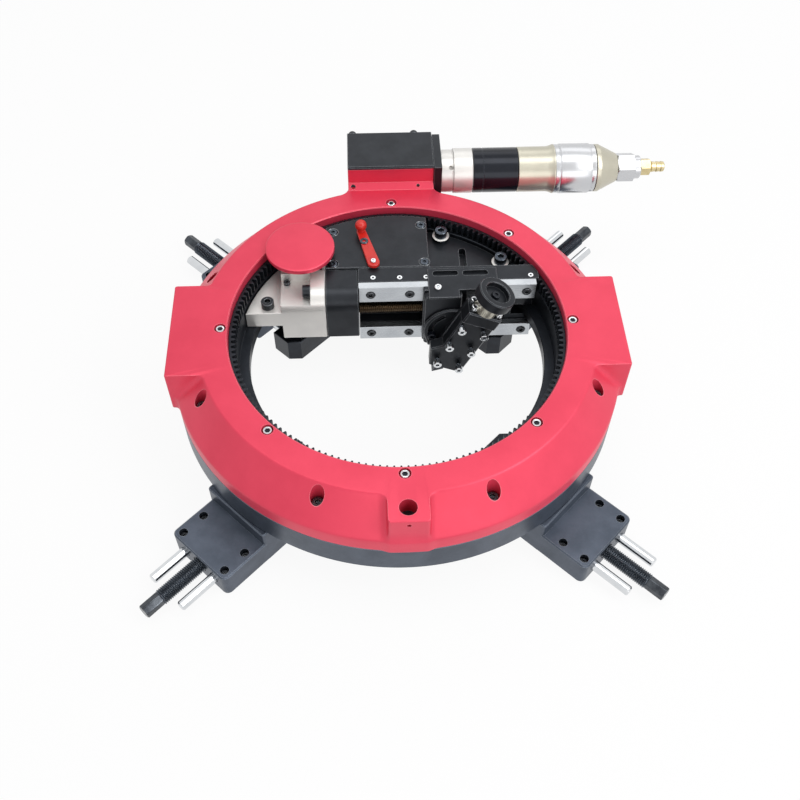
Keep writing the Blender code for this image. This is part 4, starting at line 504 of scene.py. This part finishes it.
base_profile = [(188.3, -76.3), (178, -76.3), (178, -79), (170, -79), (170, -81.2), (170.8, -82),
                (217.6, -82), (219, -80.6), (219, -49.9), (218.4, -49.3), (188.3, -49.3)]
base_box = plate(oblong(BOX_WIDTH[0], 205, BOX_WIDTH[1], 250, 1.5, 3), -81.9, -49.35, 0.8)
RING_STEPS = 300
base_shapes = [turned(base_profile, RING_STEPS, "loop"), base_box]
piece("base_ring_turned", base_shapes, phosphated, "frame", "base_ring")

WHEEL_X, WHEEL_Y = -95, 100.1
teeth_in = toothed_row(158, 160.5, 156.2, 0.42, 0.2, atan2(WHEEL_Y, WHEEL_X))
eased_in = teeth_in * 1.0015
round_in = polar(1, np.arctan2(teeth_in[:, 1], teeth_in[:, 0]))
gear_rows = [(eased_in, -9.0), (teeth_in, -9.3), (teeth_in, -20.0), (eased_in, -20.3)]
back_rows = [(176, -20.3), (176, -11.3), (162.4, -11.3), (162.4, -9.0)]
gear_rows += [(round_in * radius, height) for radius, height in back_rows]
gear_shape = loft([level(outline, height) for outline, height in gear_rows], "loop")
piece("feed_gear_teeth", gear_shape, oiled, "frame", "feed_ring_gear")

rotor_profile = [(167.5, -21.6), (157.1, -21.6), (156.5, -22.2), (156.5, -44.4), (155.9, -45), (147.1, -45),
                 (146.5, -45.6), (146.5, -57.5), (147, -58), (160, -58), (160, -79), (168.3, -79),
                 (168.3, -61.7), (173, -61.7), (173, -36), (190, -36), (190, -31), (168, -31), (168, -22.1)]
piece("rotor_ring_turned", turned(rotor_profile, RING_STEPS, "loop"), oiled, "rotor", "rotor_ring")

# %% [markdown]
# Screws are lathe work too. A cap screw's head is turned, then a hexagon key socket is pressed in, so the
# rows start as circles and end as hexagons with as many points: a hexagon's radius at an angle is its half
# width over a cosine.

# %% Screws and hexagons


def hexagon_radius(across, steps):
    """Radius of a hexagon by angle: half its width over the cosine of the angle from the nearest flat."""
    return across / 2 / np.cos((ring_angles(steps) + pi / 6) % (pi / 3) - pi / 6)


def circle_rows(radii, heights, steps):
    """Rows of points whose radii are numbers or arrays, one row to a height."""
    return [polar(radius, ring_angles(steps), height) for radius, height in zip(radii, heights)]


def socket_screw(radius, height, key, domed=0.0, shank=0.0, length=0.0, steps=48):
    """A screw whose head stands on z = 0. Its hexagon socket is key wide and goes half way down the head."""
    hexagon = hexagon_radius(key, steps)
    radii = [CORE, *[shank, shank] * bool(length), radius - 0.3, radius, radius]
    heights = [-length, *[-length, 0] * bool(length), 0, 0.3, height * 0.3]
    if domed:
        bend = np.radians(np.linspace(15, 75, 5))
        radii += list(radius - domed * (1 - np.cos(bend)))
        heights += list(height * (0.3 + 0.7 * np.sin(bend)))
    else:
        radii += [radius, radius - 0.5]
        heights += [height - 0.5, height]
    radii += [hexagon * 1.09, hexagon, hexagon * 0.98, CORE]
    heights += [height, height - 0.25, height * 0.45, height * 0.45 - key * 0.12]
    return loft(circle_rows(radii, heights, steps))


def screws(shape, places, direction=UP):
    """The same screw at several places, all along one direction."""
    return [lay(shape, facing(direction), at) for at in places]


def bright_screws(name, body, places, direction, radius, height, key, **more):
    """Chromed screws, each with a thin dark disc part way down its socket: painted shade, since a deep socket
    sends no light back.
    """
    heads = screws(socket_screw(radius, height, key, **more), places, direction)
    piece(name + "_screws", heads, chromed, body)
    # Painted shade: a dark disc in each socket stands for the shade deep inside it.
    hexagon = hexagon_radius(key * 0.97, 24)
    low, high = height * 0.62, height * 0.62 + 0.2
    socket_shade_disc = loft(circle_rows([CORE, hexagon, hexagon, CORE], [low, low, high, high], 24))
    piece(name + "_painted_socket_shades", screws(socket_shade_disc, places, direction), oiled, body)


def hexagon_bar(across, low, high, cut=0.9, steps=96):
    """A hexagon prism whose ends are turned to a cone: the radius is the lesser of hexagon and cone."""
    hexagon = hexagon_radius(across, steps)
    widths = across / 2 + np.array([-0.2, 0.25, 0.7, 9, 9, 0.7, 0.25, -0.2]) * cut
    rises = np.array([0, 0.3, 0.6, 1]) * cut
    heights = [*(low + rises), *(high - rises[::-1])]
    return loft(circle_rows([np.minimum(hexagon, width) for width in widths], heights, steps))


# %% Cover screws
M6_HEAD = socket_screw(5.0, 6.0, 5.0)
M8_HEAD = socket_screw(6.5, 8.0, 6.0)
bright_screws("cover_top", "frame", polar(170, top_angles, -6.2), UP, 4.9, 5.4, 4.6, domed=1.4)
cone_heads = [lay(M6_HEAD, FLAT, place) for place in polar(199, cone_angles, -26.4)]
piece("cover_cone_screws", cone_heads, blackened, "frame")


def plug(radius, at, direction):
    """A short black disc that closes the bottom of a blind hole."""
    return lay(turned([(CORE, 0), (radius, 0), (radius, 0.6), (CORE, 0.6)], 32), facing(direction), at)


plugs = [plug(7.8, (1.3, -204, -19.8), UP), plug(1.9, (1.6, -213.5, -7), AHEAD),
         plug(2.5, (-39.9, 195.6, -0.3), (0, -1, 1)), plug(1.8, (29.7, 195.6, -0.3), (0, -1, 1))]
piece("cover_hole_plugs", plugs, blackened, "frame")

# %% [markdown]
# Four clamp legs stand at 45 degrees to the axes. One leg is drawn along its own three axes, outwards,
# across and up from the floor, and laid down four times. Its jack screw has a real thread: the radius at an
# angle and a length along the bar falls and rises with the distance from the nearest crest, which winds
# forward one pitch in a turn.

# %% A thread as a surface


def thread(radius, pitch, depth, start, end, steps=32, taper=1.2):
    """Radius less depth times a trimmed triangle wave of (length over pitch less angle over a turn)."""
    along = np.linspace(start, end, int((end - start) / pitch * 8) + 1)[:, None]
    angle = ring_angles(steps)
    wave = np.abs((along / pitch - angle / (2 * pi)) % 1 * 2 - 1)
    rows = radius - depth * np.clip(wave * 1.35 - 0.12, 0, 1)
    rows = np.minimum(rows, radius - taper + np.minimum(along - start, end - along))
    return loft(polar(rows, angle, along))


def rod_between(radius, start, end, chamfer=1.2, steps=48):
    """A round bar along Z with a chamfer at each end."""
    return turned([(CORE, start), (radius - chamfer, start), (radius, start + chamfer),
                   (radius, end - chamfer), (radius - chamfer, end), (CORE, end)], steps)


# %% One leg, whose pad reaches 3 mm further on the side of the lugs
LEG = {"rear_right": 45, "rear_left": 135, "front_left": 225, "front_right": 315}
FLOOR = -129
BAR_HEIGHT = 15
RODS = {"a": -20, "b": 20}
screw_spots = [(out, across) for out in (238.5, 263) for across in (-28.8, 28.8)]


def in_leg(shape, across=0):
    """A turned shape laid along the leg at the height of its bars, by SIDE's axes."""
    return lay(shape, SIDE, (0, across, BAR_HEIGHT))


block = plate(oblong(200, -37, 271, 37, [0, 6, 6, 0], 6), 0.05, 30, 1.3)
block_holes = [bore(4.25, (*spot, 30), UP, 22, 3, 24) for spot in screw_spots]
block_holes += [in_leg(turned([(radius, 150), (radius, 290)], 40), across)
                for radius, across in ((5.5, RODS["a"]), (5.5, RODS["b"]), (8.5, 0))]
pads = [plate(oblong(172, side, 221, side + 77, 3, 4), 0, 46.7, 1.0) for side in (-40, -37)]
leg_blocks = [carve(together([pad, block]), block_holes) for pad in pads]
leg_jaw = plate([(148, -37), (148, 37), (126, 37), (116, 27), (116, -27), (126, -37)], 1, 29.5, 0.8)
leg_jaw = carve(leg_jaw, [in_leg(turned([(8.5, 139), (8.5, 160)], 40))])
leg_screw = in_leg(thread(8, 2, 1.15, 140, 318))
leg_hexagon = in_leg(hexagon_bar(12, 317.6, 337))
leg_screws = together([lay(socket_screw(3.6, 3.6, 3.0), FLAT, (*spot, 20.5)) for spot in screw_spots])


def leg_piece(where, name, shape, finish, body, *nodes, sharp=34):
    """One piece of a leg, turned to its angle. Every name but the frame's ends in the leg's own."""
    shape = lay(shape, turned_axes(LEG[where]), (0, 0, FLOOR))
    body = body if body == "frame" else f"{body}_{where}"
    piece(f"{name}_{where}", shape, finish, body, *(f"{node}_{where}" for node in nodes), sharp=sharp)


for where in LEG:
    leg_block = leg_blocks[where in ("rear_left", "front_right")]
    leg_piece(where, "clamp_block_milled", leg_block, phosphated, "frame", "clamp_block")
    leg_piece(where, "jaw_milled", leg_jaw, oiled, "jaw", "jaw")
    leg_piece(where, "jack_thread", leg_screw, blued, "jack", "jack_screw", sharp=50)
    leg_piece(where, "jack_hexagon", leg_hexagon, spanner_worn, "jack")
    for side, across in RODS.items():
        rod = in_leg(rod_between(5, 128, 311), across)
        leg_piece(where, "guide_rod_chromed_" + side, rod, chromed, "jaw", "guide_rod_" + side)
    leg_piece(where, "block_screws", leg_screws, blackened, "frame")

# %% [markdown]
# The drive sits behind the ring. A black folded cap closes the red box, and the air motor leaves it along
# X. Every part of the motor is turned, so each is a profile of radius against length, with the small steps
# and grooves that split it up.

# %% Cap on the drive box, and a helper for the motor
cap_side = [(195.4, 23.5), (250.3, 23.5), (250.3, 0.5), (253.3, 0.5), (253.3, 25), (251.8, 26.5),
            (196.9, 26.5), (195.4, 25)]
cap_head = socket_screw(4.6, 4.4, 4.0, domed=1.0, shank=3, length=2)
cap_heads = screws(cap_head, [(-39.5, 253.4, 21), (27.5, 253.4, 21)], (0, 1, 0))
cap_shapes = [lay(plate(cap_side, *BOX_WIDTH), SIDE), *cap_heads]
piece("drive_cap_folded", cap_shapes, blackened, "frame", "drive_cap")
MOTOR_AXIS = (0, 222, -3)


def along_motor(profile, steps=96, ends="capped"):
    """A turned piece on the motor's axis from points of length and radius, closed on the axis when capped."""
    if ends == "capped":
        profile = [(profile[0][0], CORE), *profile, (profile[-1][0], CORE)]
    return lay(turned([(radius, length) for length, radius in profile], steps, ends), SIDE, MOTOR_AXIS)


def motor_piece(name, shape, finish, body="frame"):
    """A turned piece of the motor in place of the node of the same name."""
    piece(name + "_turned", shape, finish, body, name)


# %% Air motor
adapter = along_motor([(55.3, 22), (56, 22.7), (67.2, 22.7), (67.6, 22.2), (68.3, 22.2), (68.8, 23.4),
                       (69.4, 24), (89.2, 24), (90, 23.2)])
port = np.array([0, -0.663, 0.749])
adapter = carve(adapter, [bore(2.4, MOTOR_AXIS + 22.7 * port + (66, 0, 0), port, 7)])
motor_piece("motor_adapter", adapter, blasted)
gearcase = along_motor([(90.3, 23.3), (91, 24), (100.5, 24), (100.9, 23.7), (101.5, 23.7), (101.9, 24),
                        (138.3, 24), (139, 23.3)])
motor_piece("motor_gearcase", gearcase, gloss_black)
motor_body = along_motor([(139.3, 23.7), (139.8, 24.2), (170, 24.2), (172, 24.3), (175, 25.0), (177.6, 26.0),
                          (178.4, 26.4), (179, 26.4), (179, 17.9), (223.9, 17.9)])
motor_piece("motor_body", motor_body, champagne)
sleeve = along_motor([(179.3, 18.4), (179.3, 25.6), (180, 26), (183.6, 26.1), (184.0, 25.6), (184.6, 25.6),
                      (185, 26.2), (186, 26.7), (217.6, 26.7), (218.4, 26.3), (218.8, 25.4), (219.4, 25.4),
                      (219.8, 25.6), (223.2, 25.6), (223.7, 25.2), (223.7, 18.4)], 120, "loop")
motor_piece("throttle_sleeve", sleeve, turned_steel, "throttle")
end_cone = along_motor([(224.3, 25.1), (224.7, 25.5), (228.6, 25.5), (229.3, 25.2), (230.2, 24.6),
                        (247.8, 15.8), (249, 15)])
motor_piece("motor_end_cone", end_cone, champagne)
nut_rim = along_motor([(268.7, 12.5), (274.7, 12.5), (275.5, 11.7)])
motor_piece("inlet_nut", [lay(hexagon_bar(28, 249.3, 269, 1.2), SIDE, MOTOR_AXIS), nut_rim], turned_steel)
barb = along_motor([(286.7, 5.2), (288, 5.2), (289, 5.9), (293.6, 5.2), (294.2, 5.9), (298.6, 5.2),
                    (299.2, 5.9), (302.2, 5.4), (303, 4.6), (303, 3.1), (292, 3.0)], 48)
motor_piece("inlet_nipple", [lay(hexagon_bar(16.5, 275.8, 287, 0.8), SIDE, MOTOR_AXIS), barb], brass)

# %% [markdown]
# The tool arm bolts to the rotor's ledge inside the ring. Its plates end in the rotor's own curve, so each
# outline is a few straight corners and one long arc, milled with a fine chamfer all round.

# %% Plates of the arm


def bow(left, right, front, radius, steps=48):
    """Straight at the front and sides and round at the back, where it meets the ring."""
    start, end = acos(min(right / radius, 1)), acos(max(left / radius, -1))
    corner = atan2(front, sqrt(radius ** 2 - front ** 2))
    back = arc((0, 0), radius, max(start, corner) * 180 / pi, min(end, pi - corner) * 180 / pi, steps)
    corners = [(left, front)] * (end < pi - corner) + [(right, front)] * (start > corner)
    return np.concatenate([np.reshape(corners, (-1, 2)), back])


ARM_LEFT, ARM_FRONT, ARM_R = -69.7, 80.3, 155.4
ARM_HEIGHTS = (-44.7, -25)
arm_slot = plate(oblong(69.4, 88, 76.6, 124, 3.4), -33, -20, BARE)
arm_plate = carve(plate(bow(ARM_LEFT, ARM_R, ARM_FRONT, ARM_R), *ARM_HEIGHTS, 0.7), [arm_slot])
piece("arm_plate_milled", arm_plate, blackened, "rotor", "arm_plate")
washer = turned([(4.4, 0), (8.7, 0), (9, 0.2), (9, 0.8), (8.7, 1.0), (4.4, 1.0)], 48, "loop")
bolt_spots = [(51.6, 140), (111.1, 99.6)]
piece("arm_washers", [lay(washer, FLAT, (*spot, -21.4)) for spot in bolt_spots], blasted, "rotor")
boss = turned([(CORE, -4.6), (7.2, -4.6), (7.2, -0.7), (CORE, -0.7)], 48)
arm_bolts = [lay(shape, FLAT, (*spot, -20.6)) for spot in bolt_spots for shape in (boss, M8_HEAD)]
piece("arm_bolts", arm_bolts, blued, "rotor")

lid_spots = [(-62, 132), (-62, 86.5), (30, 140), (31, 86.5)]
lid_plates = [plate(bow(ARM_LEFT, 36, ARM_FRONT, 154.6), -24.7, -10, 0.6),
              plate(bow(ARM_LEFT, 36, ARM_FRONT, 155.6), -10.4, -5, 0.7)]
gear_cover = carve(together(lid_plates), [bore(5.2, (*spot, -5), UP, 2.9) for spot in lid_spots])
piece("gear_cover_milled", gear_cover, blackened, "rotor", "gear_cover")
lid_screws = [lay(socket_screw(4.4, 3.4, 3.6), FLAT, (*spot, -7.8)) for spot in lid_spots]
piece("gear_cover_screws", lid_screws, blued, "rotor")
# A thin pale ring at the lip of each counterbore: a painted highlight where the seat's edge catches the
# light.
seat_rim_highlight = turned([(4.9, -5.4), (5.9, -5.4), (5.9, -4.95), (5.7, -4.8), (5.3, -4.8), (4.9, -5.2)], 40, "loop")
piece("gear_cover_seat_rims", [lay(seat_rim_highlight, FLAT, (*spot, 0)) for spot in lid_spots], spanner_worn, "rotor")

# %% [markdown]
# The feed bracket is a bare casting: a flat flange and a barrel with a round front edge, drawn as a side
# view and carried along X. The bearing block beside it has the same side view and is black.

# %% Feed bracket and bearing block
LEAD_AXIS, WHEEL_AXIS = (0, 63, -46), (WHEEL_X, WHEEL_Y, 0)


def screw_bore(start, end):
    """A cutter for the lead screw's way through a piece."""
    return lay(turned([(6.2, start), (6.2, end)], 48), SIDE, LEAD_AXIS)


barrel_front = arc((57.5, -25.5), 18.5, 90, 180, 16)
barrel_side = np.concatenate([[(39, -44), (39, -62.9), (79.7, -62.9), (79.7, -7)], barrel_front])
barrel = lay(plate(barrel_side, -115, -70.3, 0.7), SIDE)
flange = plate(bow(-ARM_R, -70.4, 39.05, ARM_R), *ARM_HEIGHTS, 0.7)
pocket = plate(oblong(-125, 30, -85, 75.5), -17, 20, BARE)
relief = lay(turned([(22.6, -20.1), (22.6, 10)], 96), FLAT, WHEEL_AXIS)
shaft_hole = lay(turned([(6.3, -60), (6.3, 10)], 48), FLAT, WHEEL_AXIS)
bracket = carve(together([flange, barrel]), [pocket, relief, shaft_hole, screw_bore(-108.3, -60)])
piece("feed_bracket_cast", bracket, blasted, "rotor", "feed_bracket")
bracket_screws = [lay(M8_HEAD, FLAT, (-128.4, 48.8, -25)),
                  lay(socket_screw(3.4, 3.4, 3.0), FLAT, (-109.2, 71.5, -17.1)),
                  lay(M8_HEAD, facing((-1, 0, 0)), (-84.9, 54.5, -10.4))]
piece("bracket_screws", bracket_screws, blackened, "rotor")
bearing_block = carve(lay(plate(barrel_side, -70, -37, 0.7), SIDE), [screw_bore(-90, -20)])
piece("bearing_block_milled", bearing_block, blackened, "rotor", "bearing_block")

# %% [markdown]
# The handwheel that feeds the tool is a turned red disc on a tapered boss. Beside it a red lever with a
# ball picks the feed.

# %% Handwheel and selector lever
wheel_profile = [(CORE, -42), (5.2, -42), (6, -41.2), (6, -10.7), (10, -10.7), (14, 1.4), (14.6, 2),
                 (33, 2), (33.8, 2.1), (34.6, 2.5), (35, 3.4), (35, 6.4), (34.6, 7.3), (33.8, 7.8),
                 (32.6, 8), (CORE, 8)]
wheel = lay(turned(wheel_profile, 160), FLAT, WHEEL_AXIS)
piece("feed_handwheel_turned", wheel, red_anodised, "handwheel", "feed_handwheel")
PIVOT_X, PIVOT_Y, LEVER_LENGTH, BALL_R = -21, 84.5, 47, 6
lever_outline = np.concatenate([arc((0, 0), 6.2, 90, 270, 20), arc((LEVER_LENGTH, 0), 4.6, -90, 90, 20)])
tilts = np.radians(np.arange(-78, 91, 7))
ball = turned(polar(BALL_R, tilts) + (CORE, 0), 48)
lever = together([plate(lever_outline, -4.7, -0.8),
                  lay(rod_between(3.4, -1.4, 3.4, 0.4), FLAT, (LEVER_LENGTH, 0, 0)),
                  lay(ball, FLAT, (LEVER_LENGTH, 0, 5.9))])
lever = lay(lever, turned_axes(104.5), (PIVOT_X, PIVOT_Y, 0))
piece("selector_lever_enamelled", lever, enamel, "selector_lever", "selector_lever")
stop_screw = lay(socket_screw(4.3, 5.4, 3.6), FLAT, (-29.9, 113.4, -4.9))
piece("lever_stop_screw", stop_screw, blued, "rotor")
pivot_screw = lay(socket_screw(2.9, 2.2, 2.4, domed=0.8), FLAT, (PIVOT_X, PIVOT_Y, -0.8))
piece("lever_pivot_screw", pivot_screw, chromed, "selector_lever")

# %% [markdown]
# The cross slide runs along X. Two ground rails are screwed to its front, a bronze-coloured screw drives
# the carriage between them, and a strip with four bright screws closes its top.

# %% Rails, lead screw and slide screws
rail_screw_x = -24.7 + 39.4 * np.arange(5)
for name, low, high in (("upper", -27, -6), ("lower", -84, -66)):
    middle = (low + high) / 2
    rail_seats = [bore(5, (x, 52.7, middle), AHEAD, 3) for x in rail_screw_x]
    rail = carve(lay(plate(oblong(-36.7, low, 142, high), -60.7, -52.7), FRONT), rail_seats)
    piece(f"rail_{name}_ground", rail, ground, "rotor", "rail_" + name)
    heads = screws(socket_screw(4.5, 4.2, 4.0), [(x, 55.6, middle) for x in rail_screw_x], AHEAD)
    piece(f"rail_{name}_screws", heads, blackened, "rotor")
bronze = metal("phosphor_bronze_and_oil", "brass", "#6F5F4C", "#5A4D3F", "#A8957A", (0.26, 0.4), cloud=9,
               grain=0.9, depth=0.008, rim=0.3, edge_wear_and_highlight=0.6)
lead_screw = lay(thread(6, 2, 1.0, -108, 120.5), SIDE, LEAD_AXIS)
piece("lead_screw_threaded", lead_screw, bronze, "lead_screw", "lead_screw", sharp=50)
strip_places = [(-21.9, 67, -8.1), (4.9, 66.5, -8.1), (31.6, 66.4, -8.1), (137.4, 65.7, -8.1)]
bright_screws("strip", "rotor", strip_places, UP, 2.9, 2.3, 2.0, domed=0.4)

# %% [markdown]
# The tool head leans 24 degrees. Its plate turns on the carriage's swivel, and the slide is clamped by six
# bright screws. It is drawn upright, side against height, and laid along TILT.

# %% Tool slide and its clamp


def on_slide(side, depth, forward):
    """A place on the tool head: side across the slide, depth down it, and forward as a place along Y."""
    return np.array([side * cos(LEAN) - depth * sin(LEAN), forward, -side * sin(LEAN) - depth * cos(LEAN)])


def slide_plate(outline, front, rear, edge=0.6):
    """A plate of the tool head from points of side and depth, between two places along Y."""
    points = np.asarray(outline, float) * (1, -1)
    area = (points[:, 0] * np.roll(points[:, 1], -1) - points[:, 1] * np.roll(points[:, 0], -1)).sum()
    return lay(plate(points if area > 0 else points[::-1], -rear, -front, edge), TILT)


UP_SLIDE = tuple(-on_slide(0, 1, 0))
base_plate = slide_plate([(66, -26), (102, -26), (102, 36), (92, 46), (66, 46)], 29.3, 34.7)
bar_plate = slide_plate([(66, -26), (102, -26), (102, -10.4), (66, -10.4)], 13.5, 32.3, 1.4)
piece("tool_base_milled", [base_plate, bar_plate], blackened, "tool_head", "tool_base")
slide_outline = [(66, -10), (102, -10), (102, 58), (96, 64), (66, 64), (56, 40), (66, 31)]
bit_slot = slide_plate([(75.2, 30.7), (84.8, 30.7), (84.8, 80), (75.2, 80)], 19.7, 31, BARE)
slide_block = carve(slide_plate(slide_outline, 16, 29, 1.2), [bit_slot])
piece("tool_slide_milled", slide_block, blackened, "tool_slide", "tool_slide")
clamp_places = [on_slide(side, depth, 11.5) for side in (69.3, 94) for depth in (-3.4, 24.1, 51.9)]
bright_screws("clamp", "tool_slide", clamp_places, AHEAD, 4.2, 4.4, 3.6)
clamp_thread = thread(2.2, 0.8, 0.4, -5, 0.2, 24, 0.3)
piece("clamp_threads", screws(clamp_thread, clamp_places, AHEAD), blued, "tool_slide")
bar_places = [on_slide(70.6, -28.4, 19.1), on_slide(97.6, -28.4, 19), on_slide(70.5, -28.4, 29)]
bright_screws("bar", "tool_head", bar_places, UP_SLIDE, 3.6, 3.6, 3.2, shank=2, length=4)

# %% [markdown]
# A knob on the slide's own axis sets the depth of cut. The divisions of the collar under it are cut as real
# grooves, forty short ones and eight long.

# %% Collar and knob
COLLAR_STEPS, COLLAR_R = 240, 11.8
KNOB_FOOT = on_slide(84, 0, 24)
short_r, long_r = (COLLAR_R - np.where(np.arange(COLLAR_STEPS) % every == 0, 0.35, 0.0) for every in (6, 30))
collar_radii = [CORE, 11.4, COLLAR_R, short_r, short_r, long_r, long_r, COLLAR_R, 11.4, CORE]
collar_heights = [26.3, 26.3, 26.7, 27.2, 32.5, 32.7, 36, 36.2, 41.8, 41.8]
divided = lay(loft(circle_rows(collar_radii, collar_heights, COLLAR_STEPS)), CLIMB, KNOB_FOOT)
piece("collar_divided", divided, nickel, "tool_head", "graduated_collar")
knob_profile = [(CORE, -20), (3, -20), (3, 42.1), (18.7, 42.1), (19.5, 42.9), (19.5, 52.6), (18.6, 53.6),
                (13.2, 53.6), (12.5, 52.9), (12.5, 47.6), (CORE, 47.6)]
knob = lay(turned(knob_profile, 120), CLIMB, KNOB_FOOT)
piece("depth_knob_turned", knob, blackened, "depth_knob", "depth_knob")
knob_screw = lay(lay(socket_screw(4.4, 3.0, 3.4), FLAT, (0, 0, 47.5)), CLIMB, KNOB_FOOT)
piece("knob_screw", knob_screw, gloss_black, "depth_knob")

# %% [markdown]
# The carriage is a saddle on the rails, with a flat table above and a nut round the lead screw. The plate
# in front of it has an arc slot, so that the head can be swivelled.

# %% Carriage and swivel plate
swivel_screws = screws(socket_screw(4.3, 5.6, 3.6, shank=2.6, length=3), [(36.8, 34.9, -57.5)], AHEAD)
swivel_screws += screws(socket_screw(2.8, 2.6, 2.5, shank=1.5, length=2), [(43.9, 34.9, -69.8)], AHEAD)
piece("swivel_screws", swivel_screws, gloss_black, "carriage")
table_screw = screws(socket_screw(3.9, 2.8, 2.6, domed=1.1), [(42.4, 47.8, -3)])
piece("table_screw", table_screw, chromed, "carriage")
saddle = lay(plate(oblong(28, -80, 72, -4.4, 1.5), -52.4, -46.4, 0.6), FRONT)
table = plate([(33, 35), (63.5, 35), (63.5, 45), (103, 45), (103, 75), (33, 75)], -5.7, -3, 0.4)
table_slots = [plate(oblong(low, 64.4, low + 25.7, 71.2, 3), -8, 0, BARE) for low in (38, 68.3)]
nut = plate(oblong(42, 48, 68, 71.6, 1), -56, -36, 0.4)
carriage = carve(together([saddle, table, nut]), [*table_slots, screw_bore(20, 90)])
piece("carriage_milled", carriage, blackened, "carriage", "carriage")
SWIVEL = (59, -53.7)
rear_outline = rounded([(29, -77), (43, -77), (66, -43), (66, -6.2), (29, -6.2)], [4, 4, 0, 0, 4])
front_corners = [(33.6, -76.6), (43, -76.6), (65.9, -43), (65.9, -23.5)]
quadrant = np.concatenate([front_corners, arc(SWIVEL, 31, 98, 201)])
slot_outline = np.concatenate([arc(SWIVEL, 26.3, 112, 194), arc(SWIVEL, 20.9, 194, 112)])
swivel = together([plate(rear_outline, -46.1, -38.5, 0.8), plate(quadrant, -38.6, -35, 1.3)])
swivel = carve(lay(swivel, FRONT), [lay(plate(slot_outline, -38, -30, BARE), FRONT)])
piece("swivel_plate_milled", swivel, blackened, "carriage", "swivel_plate")

# %% [markdown]
# The pieces that CAD already has right keep their own meshes and take a finish: the slide's base, the tool
# bit, the motor flange, and the bearings, gears and shafts inside. All but the tool bit go by the material
# slot that the record gives them.

# %% Finishes for the CAD pieces that stay
slot_of_node = {part["node"]: part["material_slot"] for part in frame["record"]["subparts"]}
inner_steel = metal("hardened_bearing_steel", "ground_steel", "#A9AEB3", "#9BA0A6", "#DADDE0", (0.22, 0.32),
                    cloud=20, grain=1.0, rim=0.3)
tool_steel = metal("hardened_tool_steel", "ground_steel", "#3E4044", "#4A4C50", "#B9BCC0", (0.24, 0.34),
                   rim=0.3, edge_wear_and_highlight=0.7)
finish_of_slot = {finish["slot"]: finish for finish in (inner_steel, phosphated, blackened, brass)}
for node, part in frame["nodes"].items():
    if not part.hide_render:
        part.data.materials.clear()
        part.data.materials.append(tool_steel if node == "tool_bit" else finish_of_slot[slot_of_node[node]])
        print("CAD piece that still shows:", node)

# %% [markdown]
# The machine stands on a white sheet in a white room, as a catalogue photograph does. Rays that come
# straight from the camera, or by way of metal, see the sheet at a strength of 1. Other rays see a matt
# floor, so it keeps a soft shadow.

# %% Floor, room and lamps
MIDDLE = (0, 0, 80 * MM)


def seen_directly(tree):
    """1 on rays from the camera, off metal or through glass, and 0 on the rest."""
    path = add(tree, "LightPath", {}).outputs
    seen = add(tree, "Math", {0: path["Is Camera Ray"], 1: path["Is Glossy Ray"]}, operation="MAXIMUM")
    seen = add(tree, "Math", {0: seen.outputs[0], 1: path["Is Transmission Ray"]}, operation="MAXIMUM")
    return seen.outputs[0]


def white_floor():
    """A wide square just under the feet, part light and part matt."""
    span, drop = 4.0, 0.4 * MM
    square = [(-span, -span), (span, -span), (span, span), (-span, span)]
    mesh = raw_mesh("white_sheet", (level(square, -drop), [(0, 1, 2, 3)]))
    sheet = bpy.data.materials.new("white_paper_sheet")
    sheet.use_nodes = True
    tree = sheet.node_tree
    tree.nodes.clear()
    matt = add(tree, "BsdfDiffuse", {"Color": linear("#E9E9EA")})
    glow = add(tree, "Emission", {"Color": (1, 1, 1, 1), "Strength": 1.0})
    part = add(tree, "Math", {0: seen_directly(tree), 1: 0.92}, operation="MULTIPLY")
    both = add(tree, "MixShader", {0: part.outputs[0], 1: matt.outputs[0], 2: glow.outputs[0]})
    add(tree, "OutputMaterial", {"Surface": both.outputs[0]})
    mesh.materials.append(sheet)
    put("white_sheet", mesh)


def white_room(shed):
    """World light: white where the camera or metal looks, and the given share of it on matt surfaces."""
    room = bpy.data.worlds.new("white_room")
    bpy.context.scene.world = room
    room.use_nodes = True
    tree = room.node_tree
    tree.nodes.clear()
    strength = add(tree, "MapRange", {"Value": seen_directly(tree), "To Min": shed, "To Max": 1.0})
    sky = add(tree, "Background", {"Color": (1, 1, 1, 1), "Strength": strength.outputs["Result"]})
    add(tree, "OutputWorld", {"Surface": sky.outputs[0]})


def softbox(name, place, height, width, power):
    """An area lamp, in metres and watts, that faces MIDDLE with its width along X."""
    lamp = bpy.data.lights.new(name, "AREA")
    lamp.shape, lamp.size, lamp.size_y, lamp.energy = "RECTANGLE", height, width, power
    aim(put(name, lamp), facing(np.array(place) - MIDDLE), place)


white_floor()
white_room(0.52)
softbox("window_right", (1.2, -0.7, 1.4), 1.0, 1.0, 13)
softbox("window_above", (0.2, 0.1, 2.2), 1.0, 2.6, 17)
softbox("window_rear", (0.4, 1.3, 1.2), 0.6, 1.4, 2)
softbox("window_front", (0.3, -1.8, 0.6), 1.0, 2.2, 8)
bpy.context.scene.view_settings.view_transform = "Standard"
